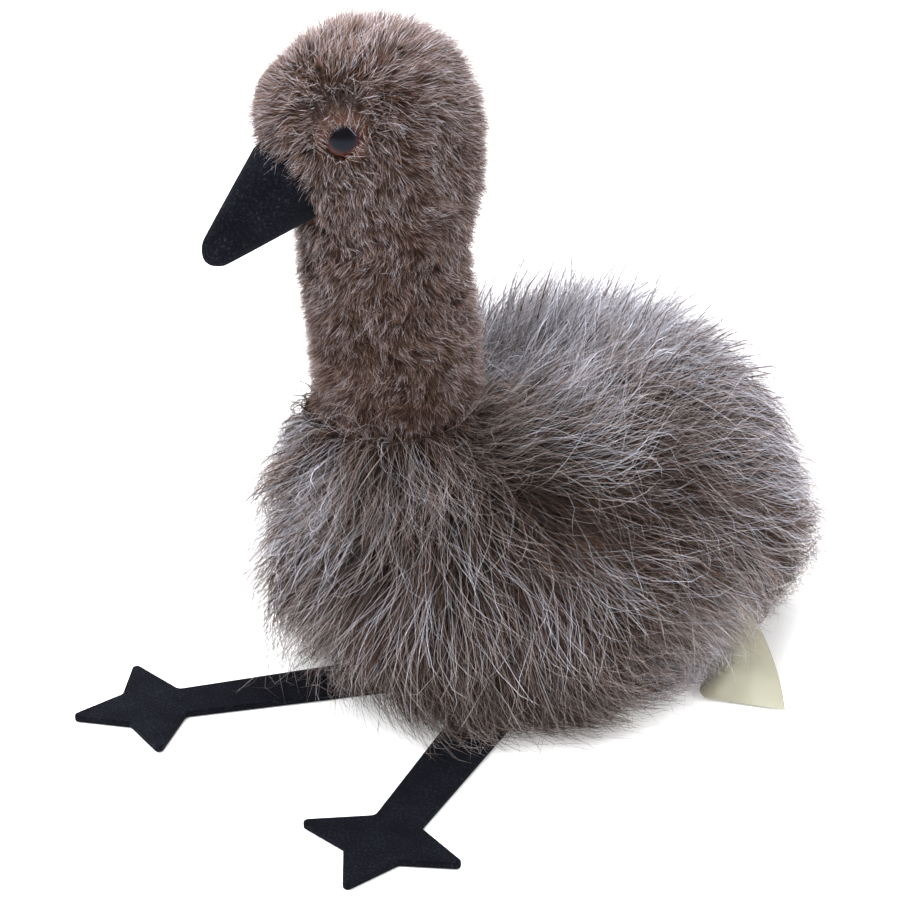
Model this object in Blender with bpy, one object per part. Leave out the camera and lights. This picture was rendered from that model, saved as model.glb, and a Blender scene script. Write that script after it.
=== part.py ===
"""A seated plush toy emu, life-size as a toy: short-pile head and neck, long-pile body, felt beak and legs.

Metres, +Z up. The toy faces -Y and its left side is +X. The origin is the middle of the flat
belly, on the floor. The outlines are those of the pile's tips.
"""

import math

import bmesh
import bpy
import numpy as np

# Body coat: how far its tips reach from the origin, and the height where it is widest
CHEST_REACH = 0.0905
RUMP_REACH = 0.080
FLANK_REACH = 0.0635
BACK_TOP = 0.106
WIDEST_Z = 0.041
UNDER_REACH = 0.064
BODY_POWER_UP = 2.6
BODY_POWER_DOWN = 2.9
CHEST_UNDERCUT = 0.13
RUMP_LEAN = 0.17
COAT_DEPTH = 0.017
CORE_INSET = COAT_DEPTH / 2
PILE_LENGTH = 0.034
LIE_AWAY = 0.55
LIE_BACK = 0.55
LIE_BACK_SPREAD = 0.4
LIE_DOWN = 0.9

# Collar: the body's rise round the foot of the neck
NECK_Y = -0.062
COLLAR_TOP = 0.0910
COLLAR_RADIUS = 0.0270
COLLAR_BASE_Z = 0.055
COLLAR_BASE_RADIUS = 0.030
BLEND = 0.006
RAY_LENGTH = 0.2
RAY_HALVINGS = 30

# Neck and head: rows of height, reach to the front and to the back of the neck's axis, half width
HEAD_TURN = math.radians(-8.0)
THROAT_Z = 0.136
NECK_ROWS = (
    (0.074, 0.0205, -0.0270, 0.0238),
    (0.090, 0.0210, -0.0270, 0.0238),
    (0.103, 0.0216, -0.0264, 0.0236),
    (0.120, 0.0233, -0.0250, 0.0236),
    (0.130, 0.0246, -0.0238, 0.0235),
    (THROAT_Z, 0.0250, -0.0238, 0.0237),
)
HEAD_ROWS = (
    (THROAT_Z, 0.0250, -0.0238, 0.0237),
    (0.143, 0.0254, -0.0252, 0.0246),
    (0.152, 0.0290, -0.0272, 0.0256),
    (0.162, 0.0345, -0.0280, 0.0264),
    (0.171, 0.0362, -0.0268, 0.0260),
    (0.179, 0.0335, -0.0238, 0.0240),
    (0.186, 0.0280, -0.0188, 0.0200),
    (0.191, 0.0218, -0.0130, 0.0152),
    (0.1945, 0.0150, -0.0060, 0.0096),
    (0.1960, 0.0080, 0.0010, 0.0034),
)
ROUND_SIDES = 32
RINGS_BETWEEN = 2

# Beak, in the head's own plane: forward of the neck's axis, and height
BEAK_TOP_ROOT = (0.0350, 0.1680)
BEAK_LOW_ROOT = (0.0225, 0.1470)
BEAK_TIP = (0.0515, 0.1412)
BEAK_TIP_RADIUS = 0.0036
BEAK_HALF_WIDTH = 0.0085
BEAK_EDGE = 0.0017
BEAK_HOLLOW = 0.8
BEAK_ROUND = 1.15
BEAK_SUNK = 0.006
BEAK_SIDES = 16
BEAK_STATIONS = (0.0, 0.25, 0.5, 0.72, 0.86, 0.95, 0.995)

# Eyes: domed buttons
EYE_RADIUS = 0.0050
EYE_DOME = 0.0034
EYE_FORWARD = 0.0235
EYE_Z = 0.1736
EYE_SUNK = 0.0012
EYE_LOOK_UP = 0.12
EYE_BACK = 0.0030
EYE_BACK_SHARE = 0.86
EYE_RIM = 0.0008
EYE_SIDES = 20
EYE_RINGS = 6

# Legs and feet: flat felt cut-outs that lie on the floor
FELT = 0.0020
HIP_HALF_WIDTH = 0.0085
ANKLE_HALF_WIDTH = 0.0065
ANKLE_BACK = 0.0101
SIDE_TOE = 0.0239
MID_TOE = 0.0216
NOTCH_FORWARD = 0.0056
NOTCH_SIDE = 0.0078
TOE_TIP_RADIUS = 0.0013
LEG_LENGTH = 0.066
# Each foot's middle, and the leg's turn away from straight ahead, towards the toy's left
FEET = {
    "right": ((-0.0376, -0.1192), math.radians(-25.1)),
    "left": ((0.0555, -0.1100), math.radians(25.6)),
}

# Sewn-in label: a folded ribbon, upright at its seam in the left flank and flat on the floor at its end
LABEL_WIDTH = 0.0225
LABEL_THICK = 0.0008
LABEL_ROOT = (0.0485, 0.0178, 0.0195)
LABEL_END = (0.0677, 0.0103, 0.0007)
LABEL_ROOT_TURN = math.radians(75.0)
LABEL_END_TURN = math.radians(33.4)
LABEL_ROOT_LIFT = math.radians(90.0)
LABEL_STEPS = 8
BELOW_FLOOR = 0.001

GAP = 0.0003
FLOOR_CLEAR = 0.0012
SHARP_ANGLE = math.radians(40)

# Locks of the long pile, which are wider and fewer than the real ones
LOCK_SPACING = 0.0122
LOCK_WIDTH = 0.0150
LOCK_THICK = 0.0034
LOCK_SUNK = 0.0050
LOCK_RISE = 1.5
LOCK_TURN = 0.45
LOCK_TAPER = (0.7, 1.0, 0.85, 0.5)
LOCK_VARIES = (0.85, 1.1)
STEEPEST = 0.3
TIP_REACH = (-0.0010, 0.0030)
LOWEST_ROOT = 0.008
ROOT_TRIES = 6000
SEED = 9

COATS = {
    "long_pile": ((0.20, 0.155, 0.125, 1.0), 0.95),
    "short_pile": ((0.19, 0.125, 0.095, 1.0), 0.95),
    "felt": ((0.010, 0.012, 0.018, 1.0), 0.95),
    "eye": ((0.030, 0.012, 0.008, 1.0), 0.08),
    "ribbon": ((0.74, 0.68, 0.48, 1.0), 0.55),
}


def clear_scene():
    for old in list(bpy.data.objects):
        bpy.data.objects.remove(old)


def material(name):
    """The named finish as a Principled material, made once."""
    found = bpy.data.materials.get(name)
    if found:
        return found
    colour, roughness = COATS[name]
    made = bpy.data.materials.new(name)
    made.use_nodes = True
    made.diffuse_color = colour
    shader = made.node_tree.nodes["Principled BSDF"]
    shader.inputs["Base Color"].default_value = colour
    shader.inputs["Roughness"].default_value = roughness
    shader.inputs["Metallic"].default_value = 0.0
    return made


def new_object(name, points, faces, finish=None, smooth=False):
    """A mesh object from points and faces, with its normals facing out."""
    mesh = bpy.data.meshes.new(name)
    mesh.from_pydata([tuple(map(float, p)) for p in points], [], [list(map(int, f)) for f in faces])
    form = bmesh.new()
    form.from_mesh(mesh)
    bmesh.ops.recalc_face_normals(form, faces=form.faces)
    form.to_mesh(mesh)
    form.free()
    made = bpy.data.objects.new(name, mesh)
    bpy.context.scene.collection.objects.link(made)
    if finish:
        mesh.materials.append(material(finish))
    if smooth:
        mesh.shade_smooth()
        mesh.set_sharp_from_angle(angle=SHARP_ANGLE)
    return made


def unit(vectors):
    """The same vectors at length 1, row by row."""
    return vectors / np.maximum(np.linalg.norm(vectors, axis=-1, keepdims=True), 1e-12)


def body_distance(points, inset):
    """About how far each point lies outside the body's form, which is the coat's outline less inset."""
    x, y, z = points[:, 0], points[:, 1], points[:, 2] - WIDEST_Z
    fall = np.clip(-z / WIDEST_Z, 0, 1)
    rise = np.clip(z / (BACK_TOP - WIDEST_Z), -0.8, 1)
    chest = CHEST_REACH * (1 - CHEST_UNDERCUT * fall**2)
    rump = RUMP_REACH * (1 - RUMP_LEAN * rise)
    long_reach = np.where(y < 0, chest, rump) - inset
    high_reach = np.where(z > 0, BACK_TOP - WIDEST_Z, UNDER_REACH) - inset
    power = np.where(z > 0, BODY_POWER_UP, BODY_POWER_DOWN)
    level = (
        np.abs(x / (FLANK_REACH - inset)) ** power
        + np.abs(y / long_reach) ** power
        + np.abs(z / high_reach) ** power
    ) ** (1 / power)
    egg = (level - 1) * (FLANK_REACH - inset)
    climb = np.clip((points[:, 2] - COLLAR_BASE_Z) / (COLLAR_TOP - COLLAR_BASE_Z), 0, 1)
    radius = COLLAR_BASE_RADIUS + (COLLAR_RADIUS - COLLAR_BASE_RADIUS) * climb - inset * (1 - climb)
    collar = np.maximum(np.hypot(x, y - NECK_Y) - radius, points[:, 2] - COLLAR_TOP)
    collar = np.maximum(collar, COLLAR_BASE_Z - points[:, 2])
    return -BLEND * np.log(np.exp(-egg / BLEND) + np.exp(-collar / BLEND))


def body_normals(points, inset):
    """The outward direction of the body's form at each point, from small steps in the distance."""
    step = 2e-4
    slope = [
        body_distance(points + step * axis, inset) - body_distance(points - step * axis, inset)
        for axis in np.eye(3)
    ]
    return unit(np.stack(slope, axis=1))


def body_surface(directions, inset):
    """Where rays from inside the body meet its form, by halving."""
    middle = np.array([0.0, NECK_Y / 2, WIDEST_Z])
    near, far = np.zeros(len(directions)), np.full(len(directions), RAY_LENGTH)
    for _ in range(RAY_HALVINGS):
        half = (near + far) / 2
        inside = body_distance(middle + half[:, None] * directions, inset) < 0
        near, far = np.where(inside, half, near), np.where(inside, far, half)
    return middle + near[:, None] * directions


def body_core(inset):
    """The body's form as a closed mesh with a flat belly on the floor."""
    form = bmesh.new()
    bmesh.ops.create_icosphere(form, subdivisions=4, radius=1.0)
    directions = unit(np.array([v.co for v in form.verts]))
    for vert, point in zip(form.verts, body_surface(directions, inset)):
        vert.co = point
    everything = form.verts[:] + form.edges[:] + form.faces[:]
    bmesh.ops.bisect_plane(
        form, geom=everything, dist=1e-6, plane_co=(0, 0, 0), plane_no=(0, 0, -1), clear_outer=True
    )
    bmesh.ops.holes_fill(form, edges=[e for e in form.edges if e.is_boundary])
    points = [v.co.copy() for v in form.verts]
    form.verts.index_update()
    faces = [[v.index for v in f.verts] for f in form.faces]
    form.free()
    return new_object("torso", points, faces, "long_pile")


def lie_of_coat(points, normals):
    """The way the pile lies: away from the neck over the back, and down over the chest and flanks."""
    away = points - np.array([0.0, NECK_Y, 0.0])
    away[:, 2] = 0
    backward = np.array([0.0, LIE_BACK, 0.0]) * np.clip(normals[:, 2:] + LIE_BACK_SPREAD, 0, 1)
    wish = LIE_AWAY * unit(away) + backward + np.array([0.0, 0.0, -LIE_DOWN])
    return unit(wish - (wish * normals).sum(1, keepdims=True) * normals)


def lock_roots(draw):
    """Points spread evenly over the core's surface, none nearer another than the locks' spacing."""
    points = body_surface(unit(draw.normal(size=(ROOT_TRIES, 3))), CORE_INSET)
    kept = []
    for point in points:
        beside = math.hypot(point[0], point[1] - NECK_Y)
        under_neck = beside < COLLAR_RADIUS and point[2] > COLLAR_TOP - LOCK_THICK
        apart = all(np.linalg.norm(point - other) > LOCK_SPACING for other in kept)
        if point[2] > LOWEST_ROOT and apart and not under_neck:
            kept.append(point)
    return np.array(kept)


def lock_paths(roots, draw):
    """Points down the middle of every lock, from inside the core out to the coat's outline."""
    count, steps = len(roots), len(LOCK_TAPER)
    lengths = PILE_LENGTH * draw.uniform(*LOCK_VARIES, size=(count, 1))
    proud = draw.uniform(*TIP_REACH, size=count)
    turns = draw.uniform(-LOCK_TURN, LOCK_TURN, size=(count, 1))
    normals = body_normals(roots, CORE_INSET)
    lies = lie_of_coat(roots, normals)
    room = (roots[:, 2:] - FLOOR_CLEAR) / np.maximum(-lies[:, 2:], STEEPEST)
    lengths = np.minimum(lengths, room)
    here, paths = roots.copy(), []
    for i in range(steps + 1):
        share = i / steps
        depth = (CORE_INSET + LOCK_SUNK) * (1 - share) ** LOCK_RISE
        here = here + normals * (proud * share - depth - body_distance(here, 0.0))[:, None]
        here[:, 2] = np.maximum(here[:, 2], FLOOR_CLEAR)
        paths.append(here.copy())
        normals = body_normals(here, 0.0)
        heading = unit(lie_of_coat(here, normals) + np.cross(normals, lies) * turns * share)
        here = here + heading * lengths / steps
    return np.stack(paths, axis=1)


def lock_mesh(path, normal, width):
    """A flat tapered lock along its path: three-sided sections with a ridge outside, drawn to a point."""
    points, faces = [], []
    for i, share in enumerate(LOCK_TAPER):
        ahead = path[i + 1] - path[i]
        side = unit(np.cross(ahead, normal))
        ridge = unit(np.cross(side, ahead))
        half = side * width / 2 * share
        points += [path[i] - half, path[i] + half, path[i] + ridge * LOCK_THICK * share]
    points = np.array(points + [path[-1]])
    points[:, 2] = np.maximum(points[:, 2], FLOOR_CLEAR)
    tip, last = len(points) - 1, len(points) - 4
    for start in range(0, last, 3):
        for k in range(3):
            a, b = start + k, start + (k + 1) % 3
            faces += [[a, b, b + 3], [a, b + 3, a + 3]]
    faces += [[last + k, last + (k + 1) % 3, tip] for k in range(3)]
    faces.append([2, 1, 0])
    return points, faces


def coat_locks():
    """One object for each lock of the long pile, in a collection of their own."""
    draw = np.random.default_rng(SEED)
    roots = lock_roots(draw)
    normals = body_normals(roots, CORE_INSET)
    locks = []
    for i, (path, normal) in enumerate(zip(lock_paths(roots, draw), normals)):
        width = LOCK_WIDTH * draw.uniform(*LOCK_VARIES)
        locks.append(new_object(f"lock_{i}", *lock_mesh(path, normal, width)))
    return collection_of("locks", locks)


def apply_boolean(target, tools, operation, solver="EXACT"):
    """Joins or cuts target with every object in the tools collection, then removes them."""
    cut = target.modifiers.new(operation.lower(), "BOOLEAN")
    cut.operation = operation
    cut.operand_type = "COLLECTION"
    cut.collection = tools
    cut.solver = solver
    bpy.context.view_layer.update()
    graph = bpy.context.evaluated_depsgraph_get()
    made = bpy.data.meshes.new_from_object(target.evaluated_get(graph))
    target.modifiers.remove(cut)
    target.data = made
    for tool in list(tools.objects):
        bpy.data.objects.remove(tool)
    bpy.data.collections.remove(tools)


def keep_largest(target):
    """Drops every loose closed surface of the mesh but the largest."""
    form = bmesh.new()
    form.from_mesh(target.data)
    bmesh.ops.triangulate(form, faces=form.faces)
    seen, largest = set(), []
    for start in form.faces:
        if start in seen:
            continue
        island, queue = [], [start]
        seen.add(start)
        while queue:
            face = queue.pop()
            island.append(face)
            for edge in face.edges:
                for other in edge.link_faces:
                    if other not in seen:
                        seen.add(other)
                        queue.append(other)
        if len(island) > len(largest):
            largest = island
    kept = set(largest)
    bmesh.ops.delete(form, geom=[f for f in form.faces if f not in kept], context="FACES")
    form.to_mesh(target.data)
    form.free()


def collection_of(name, objects):
    group = bpy.data.collections.new(name)
    bpy.context.scene.collection.children.link(group)
    for tool in objects:
        bpy.context.scene.collection.objects.unlink(tool)
        group.objects.link(tool)
    return group


def smooth_rows(rows, between):
    """The rows with more between them, on a smooth curve through them all."""
    rows = np.array(rows, float)
    padded = np.vstack([2 * rows[0] - rows[1], rows, 2 * rows[-1] - rows[-2]])
    out = []
    for i in range(1, len(rows)):
        before, start, end, after = padded[i - 1 : i + 3]
        slope = end - before
        bend = 2 * before - 5 * start + 4 * end - after
        twist = 3 * start - before - 3 * end + after
        for t in np.arange(between) / between:
            out.append(0.5 * (2 * start + slope * t + bend * t**2 + twist * t**3))
    out.append(rows[-1])
    return np.array(out)


def head_axes():
    """The head's forward and left directions."""
    forward = np.array([math.sin(HEAD_TURN), -math.cos(HEAD_TURN), 0.0])
    left = np.array([math.cos(HEAD_TURN), math.sin(HEAD_TURN), 0.0])
    return forward, left


def at_head(forward_reach, left_reach, height):
    """A point given by its reach from the neck's axis in the head's own directions."""
    forward, left = head_axes()
    base = np.array([0.0, NECK_Y, height])
    return base + forward * forward_reach + left * left_reach


def loft(name, rows, finish, grow=0.0):
    """A round closed form through the rows, with flat ends, grown outwards by grow."""
    points = []
    for height, front, back, half in rows:
        middle, reach = (front + back) / 2, (front - back) / 2 + grow
        for k in range(ROUND_SIDES):
            turn = 2 * math.pi * k / ROUND_SIDES
            points.append(at_head(middle + reach * math.cos(turn), (half + grow) * math.sin(turn), height))
    faces = tube_faces(len(rows), ROUND_SIDES)
    faces.append(list(range(ROUND_SIDES)))
    faces.append([len(points) - ROUND_SIDES + k for k in range(ROUND_SIDES)])
    return new_object(name, points, faces, finish, smooth=True)


def make_neck(grow=0.0):
    rows = smooth_rows(NECK_ROWS, RINGS_BETWEEN)
    rows[-1, 0] -= GAP / 2
    if grow:
        rows[0, 0] -= grow
        rows[-1, 0] += grow
    return loft("neck" if not grow else "neck_cutter", rows, "short_pile", grow)


def make_head():
    rows = smooth_rows(HEAD_ROWS, RINGS_BETWEEN)
    rows[0, 0] += GAP / 2
    return loft("head", rows, "short_pile")


def beak_sections(grow):
    """Each ring's middle, half height and half width, from inside the head to the beak's tip."""
    top, low, tip = (np.array(p) for p in (BEAK_TOP_ROOT, BEAK_LOW_ROOT, BEAK_TIP))
    base = (top + low) / 2
    length = np.linalg.norm(tip - base)
    axis = (tip - base) / length
    across = np.array([axis[1], -axis[0]])
    across = across * np.sign(across @ (top - low))
    base_half = (top - low) @ across / 2
    rings = [(base - axis * BEAK_SUNK, base_half + grow, BEAK_HALF_WIDTH + BEAK_EDGE + grow)]
    for share in BEAK_STATIONS:
        past = max(BEAK_TIP_RADIUS - (1 - share) * length, 0.0) / BEAK_TIP_RADIUS
        rounding = math.sqrt(1 - past**2)
        tall = base_half * (1 - share) + BEAK_TIP_RADIUS * share
        wide = BEAK_HALF_WIDTH * (1 - share) ** BEAK_HOLLOW + BEAK_EDGE
        rings.append((base + axis * share * length, tall * rounding + grow, wide * rounding + grow))
    return rings, across


def tube_faces(rings, sides):
    """The quads that join rings of as many sides, one after another."""
    faces = []
    for i in range(rings - 1):
        for k in range(sides):
            a, b = i * sides + k, i * sides + (k + 1) % sides
            faces.append([a, b, b + sides, a + sides])
    return faces


def make_beak(grow=0.0):
    """A wedge of felt, flat at its sides, with an edge above and below."""
    rings, across = beak_sections(grow)
    points = []
    for middle, tall, wide in rings:
        for k in range(BEAK_SIDES):
            turn = 2 * math.pi * k / BEAK_SIDES
            at = middle + across * tall * math.cos(turn)
            out = math.copysign(abs(math.sin(turn)) ** BEAK_ROUND, math.sin(turn))
            points.append(at_head(at[0], wide * out, at[1]))
    faces = tube_faces(len(rings), BEAK_SIDES)
    faces.append(list(range(BEAK_SIDES)))
    faces.append([len(points) - BEAK_SIDES + k for k in range(BEAK_SIDES)])
    return new_object("beak" if not grow else "beak_cutter", points, faces, "felt", smooth=True)


def eye_seat(side):
    """Where an eye sits on the head's side, and the way that it faces."""
    rows = smooth_rows(HEAD_ROWS, RINGS_BETWEEN)
    front, back, half = (np.interp(EYE_Z, rows[:, 0], rows[:, i]) for i in (1, 2, 3))
    middle, reach = (front + back) / 2, (front - back) / 2
    sign = 1 if side == "left" else -1
    sideways = sign * half * math.sqrt(1 - ((EYE_FORWARD - middle) / reach) ** 2)
    forward, left = head_axes()
    level = unit(forward * (EYE_FORWARD - middle) / reach**2 + left * sideways / half**2)
    facing = unit(level + np.array([0, 0, EYE_LOOK_UP]))
    return at_head(EYE_FORWARD, sideways, EYE_Z) - facing * EYE_SUNK, facing


def make_eye(side, grow=0.0):
    """A domed button that faces out of the head's side."""
    centre, facing = eye_seat(side)
    across = unit(np.cross(np.array([0, 0, 1.0]), facing))
    above = np.cross(facing, across)
    radius, dome = EYE_RADIUS + grow, EYE_DOME + grow
    profile = [(radius * EYE_BACK_SHARE, -EYE_BACK - grow), (radius, -EYE_RIM)]
    for i in range(1, EYE_RINGS):
        climb = math.pi / 2 * i / EYE_RINGS
        profile.append((radius * math.cos(climb), dome * math.sin(climb)))
    points = []
    for ring, rise in profile:
        for k in range(EYE_SIDES):
            turn = 2 * math.pi * k / EYE_SIDES
            spoke = across * math.cos(turn) + above * math.sin(turn)
            points.append(centre + facing * rise + spoke * ring)
    last = len(points) - EYE_SIDES
    points.append(centre + facing * dome)
    faces = tube_faces(len(profile), EYE_SIDES)
    faces += [[last + k, last + (k + 1) % EYE_SIDES, len(points) - 1] for k in range(EYE_SIDES)]
    faces.append(list(range(EYE_SIDES)))
    return new_object(f"eye_{side}" + ("_cutter" if grow else ""), points, faces, "eye", smooth=True)


def rounded_outline(corners, steps=4):
    """A closed outline of (x, y, radius) corners, each rounded by its radius."""
    out = []
    count = len(corners)
    for i, (x, y, radius) in enumerate(corners):
        here = np.array([x, y])
        before = unit(np.array(corners[i - 1][:2]) - here)
        after = unit(np.array(corners[(i + 1) % count][:2]) - here)
        if radius <= 0:
            out.append(here)
            continue
        half = math.acos(float(np.clip(before @ after, -1, 1))) / 2
        centre = here + unit(before + after) * radius / math.sin(half)
        start = here + before * radius / math.tan(half) - centre
        end = here + after * radius / math.tan(half) - centre
        first = math.atan2(start[1], start[0])
        turn = math.atan2(end[1], end[0]) - first
        turn = (turn + math.pi) % (2 * math.pi) - math.pi
        for k in range(steps + 1):
            at = first + turn * k / steps
            out.append(centre + radius * np.array([math.cos(at), math.sin(at)]))
    return np.array(out)


def flat_cut(name, outline, side, base, top, finish="felt"):
    """A flat piece of the outline, given ahead of and beside a foot's middle, between two heights."""
    (x, y), turn = FEET[side]
    ahead = np.array([math.sin(turn), -math.cos(turn)])
    beside = np.array([math.cos(turn), math.sin(turn)])
    plan = np.array([x, y]) + outline[:, :1] * ahead + outline[:, 1:] * beside
    count = len(plan)
    points = [(p[0], p[1], z) for z in (base, top) for p in plan]
    faces = [list(range(count))[::-1], list(range(count, 2 * count))]
    faces += [[k, (k + 1) % count, count + (k + 1) % count, count + k] for k in range(count)]
    return new_object(name, points, faces, finish)


def make_foot(side):
    """The star of three toes, with its straight back edge at the ankle."""
    tip = TOE_TIP_RADIUS
    corners = [
        (-ANKLE_BACK, -ANKLE_HALF_WIDTH, 0),
        (0.0, -SIDE_TOE, tip),
        (NOTCH_FORWARD, -NOTCH_SIDE, tip),
        (MID_TOE, 0.0, tip),
        (NOTCH_FORWARD, NOTCH_SIDE, tip),
        (0.0, SIDE_TOE, tip),
        (-ANKLE_BACK, ANKLE_HALF_WIDTH, 0),
    ]
    return flat_cut(f"foot_{side}", rounded_outline(corners), side, 0.0, FELT)


def make_leg(side, grow=0.0):
    """The strap from the ankle back to the hip, where it is wider."""
    ankle = -ANKLE_BACK - GAP + grow
    hip = -ANKLE_BACK - LEG_LENGTH - grow
    corners = [
        (ankle, -ANKLE_HALF_WIDTH - grow, 0),
        (ankle, ANKLE_HALF_WIDTH + grow, 0),
        (hip, HIP_HALF_WIDTH + grow, 0),
        (hip, -HIP_HALF_WIDTH - grow, 0),
    ]
    name = f"leg_{side}" + ("_cutter" if grow else "")
    return flat_cut(name, rounded_outline(corners), side, -2 * grow, FELT + grow)


def make_label(grow=0.0):
    """The ribbon as a twisted strip from its seam in the flank to its end on the floor."""
    root, end = np.array(LABEL_ROOT), np.array(LABEL_END)
    half, thick = LABEL_WIDTH / 2 + grow, LABEL_THICK / 2 + grow
    points, faces = [], []
    for share in np.arange(LABEL_STEPS + 1) / LABEL_STEPS:
        middle = root * (1 - share) + end * share
        turn = LABEL_ROOT_TURN * (1 - share) + LABEL_END_TURN * share
        lift = LABEL_ROOT_LIFT * (1 - share)
        level = np.array([math.cos(turn), math.sin(turn), 0.0])
        across = level * math.cos(lift) + np.array([0, 0, math.sin(lift)])
        through = unit(np.cross(end - root, across))
        for a, b in ((-1, -1), (1, -1), (1, 1), (-1, 1)):
            points.append(middle + across * half * a + through * thick * b)
    for i in range(LABEL_STEPS):
        for k in range(4):
            a, b = 4 * i + k, 4 * i + (k + 1) % 4
            faces += [[a, b, b + 4], [a, b + 4, a + 4]]
    faces += [[3, 2, 1, 0], [4 * LABEL_STEPS + k for k in range(4)]]
    points = np.array(points)
    points[:, 2] = np.maximum(points[:, 2], -BELOW_FLOOR if grow else GAP)
    return new_object("label" if not grow else "label_cutter", points, faces, "ribbon")


def make_torso():
    """The body's core with its locks, cut clear of the neck, legs and label."""
    core = body_core(CORE_INSET)
    apply_boolean(core, coat_locks(), "UNION", "MANIFOLD")
    keep_largest(core)
    tools = [make_neck(GAP), make_leg("left", GAP), make_leg("right", GAP), make_label(GAP)]
    apply_boolean(core, collection_of("torso_tools", tools), "DIFFERENCE", "MANIFOLD")
    keep_largest(core)
    return core


def main():
    clear_scene()
    make_torso()
    make_neck()
    head = make_head()
    tools = [make_beak(GAP), make_eye("left", GAP), make_eye("right", GAP)]
    apply_boolean(head, collection_of("head_tools", tools), "DIFFERENCE")
    keep_largest(head)
    head.data.shade_smooth()
    head.data.set_sharp_from_angle(angle=SHARP_ANGLE)
    make_beak()
    for side in ("left", "right"):
        make_eye(side)
        make_leg(side)
        make_foot(side)
    make_label()


main()
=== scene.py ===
"""Looks of the seated plush toy emu: long pile on the body, short plush above it, felt beak and legs.

Metres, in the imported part's own frame: the toy faces -Y, its left side is +X, and it sits on z = 0.
"""

import math

import bmesh
import bpy
import numpy as np
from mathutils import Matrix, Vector
from mathutils.kdtree import KDTree


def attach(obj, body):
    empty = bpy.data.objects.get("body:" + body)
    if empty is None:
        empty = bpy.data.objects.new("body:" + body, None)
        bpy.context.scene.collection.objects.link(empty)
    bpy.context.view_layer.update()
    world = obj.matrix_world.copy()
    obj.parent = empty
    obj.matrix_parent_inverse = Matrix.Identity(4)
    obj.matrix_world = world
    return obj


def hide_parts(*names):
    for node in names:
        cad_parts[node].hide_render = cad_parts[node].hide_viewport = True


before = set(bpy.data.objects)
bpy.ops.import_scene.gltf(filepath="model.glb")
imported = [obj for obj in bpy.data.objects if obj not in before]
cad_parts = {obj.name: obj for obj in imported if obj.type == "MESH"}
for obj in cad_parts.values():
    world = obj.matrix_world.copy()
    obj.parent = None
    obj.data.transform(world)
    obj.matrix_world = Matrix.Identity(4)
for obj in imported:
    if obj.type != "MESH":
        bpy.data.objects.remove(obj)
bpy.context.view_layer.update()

SEED = 23
SIDES = ("left", "right")

# The map that every fibre's patch lies on
PATCH = 0.003
MAP_START = 0.01
MAP_SPAN = 0.977

# Camera, which stands before the toy's left shoulder and looks down on it
CAMERA_PLACE = (0.4544, -0.4217, 0.3551)
CAMERA_AIM = (-0.1119, 0.0534, 0.0)
CAMERA_LENS_MM = 96.0

# Body: the outline of the long pile's tips, as the solids have it
CHEST_REACH = 0.0905
RUMP_REACH = 0.080
FLANK_REACH = 0.0635
BACK_TOP = 0.106
WIDEST_Z = 0.041
UNDER_REACH = 0.064
BODY_POWER_UP = 2.6
BODY_POWER_DOWN = 2.9
CHEST_UNDERCUT = 0.13
RUMP_LEAN = 0.17
RUMP_LEAN_FROM = -0.8
COLLAR_TOP = 0.0915
COLLAR_RADIUS = 0.0246
COLLAR_BASE_Z = 0.062
COLLAR_BASE_RADIUS = 0.0300
BLEND = 0.006
COAT_DEPTH = 0.018
THICK_DEPTH = 0.002
CHEST_THIN = 0.006
RUMP_THIN = 0.003
TOP_THIN = 0.005
SHOULDER_LOW_Z = 0.030
SHOULDER_HIGH_Z = 0.065
SEAM_DEPTH = 0.0022
BELLY_Z = 0.0026

# Neck and head: rows of height, reach to the front and to the back of the neck's axis, half width
NECK_Y = -0.062
HEAD_TURN = math.radians(-8.0)
HEAD_FORWARD = np.array([math.sin(HEAD_TURN), -math.cos(HEAD_TURN), 0.0])
HEAD_LEFT = np.array([math.cos(HEAD_TURN), math.sin(HEAD_TURN), 0.0])
NECK_FOOT = np.array([0.0, NECK_Y, 0.0])
BODY_MIDDLE = np.array([0.0, NECK_Y / 2, WIDEST_Z])
HEAD_ROWS = (
    (0.074, 0.0205, -0.0270, 0.0238),
    (0.090, 0.0210, -0.0270, 0.0238),
    (0.103, 0.0216, -0.0264, 0.0236),
    (0.120, 0.0233, -0.0250, 0.0236),
    (0.130, 0.0246, -0.0238, 0.0235),
    (0.136, 0.0250, -0.0238, 0.0237),
    (0.143, 0.0254, -0.0252, 0.0246),
    (0.152, 0.0290, -0.0272, 0.0256),
    (0.162, 0.0345, -0.0280, 0.0264),
    (0.171, 0.0362, -0.0268, 0.0260),
    (0.179, 0.0335, -0.0238, 0.0240),
    (0.186, 0.0280, -0.0188, 0.0200),
    (0.191, 0.0218, -0.0130, 0.0152),
    (0.1945, 0.0150, -0.0060, 0.0096),
    (0.1960, 0.0080, 0.0010, 0.0034),
)
PLUSH_DEPTH = 0.0040
CROWN_FROM_Z = 0.165
THROAT_Z = 0.136
SKIN_SIDES = 72
SKIN_BETWEEN = 6
WIDE_SKIN = 0.030

# Beak, eyes, felt and label, as the solids have them
BEAK_TOP_ROOT = (0.0350, 0.1680)
BEAK_LOW_ROOT = (0.0225, 0.1470)
BEAK_TIP = (0.0515, 0.1412)
BEAK_TIP_RADIUS = 0.0036
BEAK_HALF_WIDTH = 0.0085
BEAK_EDGE = 0.0017
BEAK_SUNK = 0.006
EYE_RADIUS = 0.0050
EYE_DOME = 0.0034
EYE_FORWARD = 0.0235
EYE_Z = 0.1736
EYE_SUNK = 0.0012
EYE_SET_IN = 0.0020
EYE_LIFT = 0.12
EYE_BACK = ((0.8, -0.0029), (0.97, -0.0012), (1.0, -0.0006))
FELT = 0.0020
HIP_HALF_WIDTH = 0.0085
ANKLE_HALF_WIDTH = 0.0065
ANKLE_BACK = 0.0101
SIDE_TOE = 0.0239
MID_TOE = 0.0216
NOTCH_FORWARD = 0.0056
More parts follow.
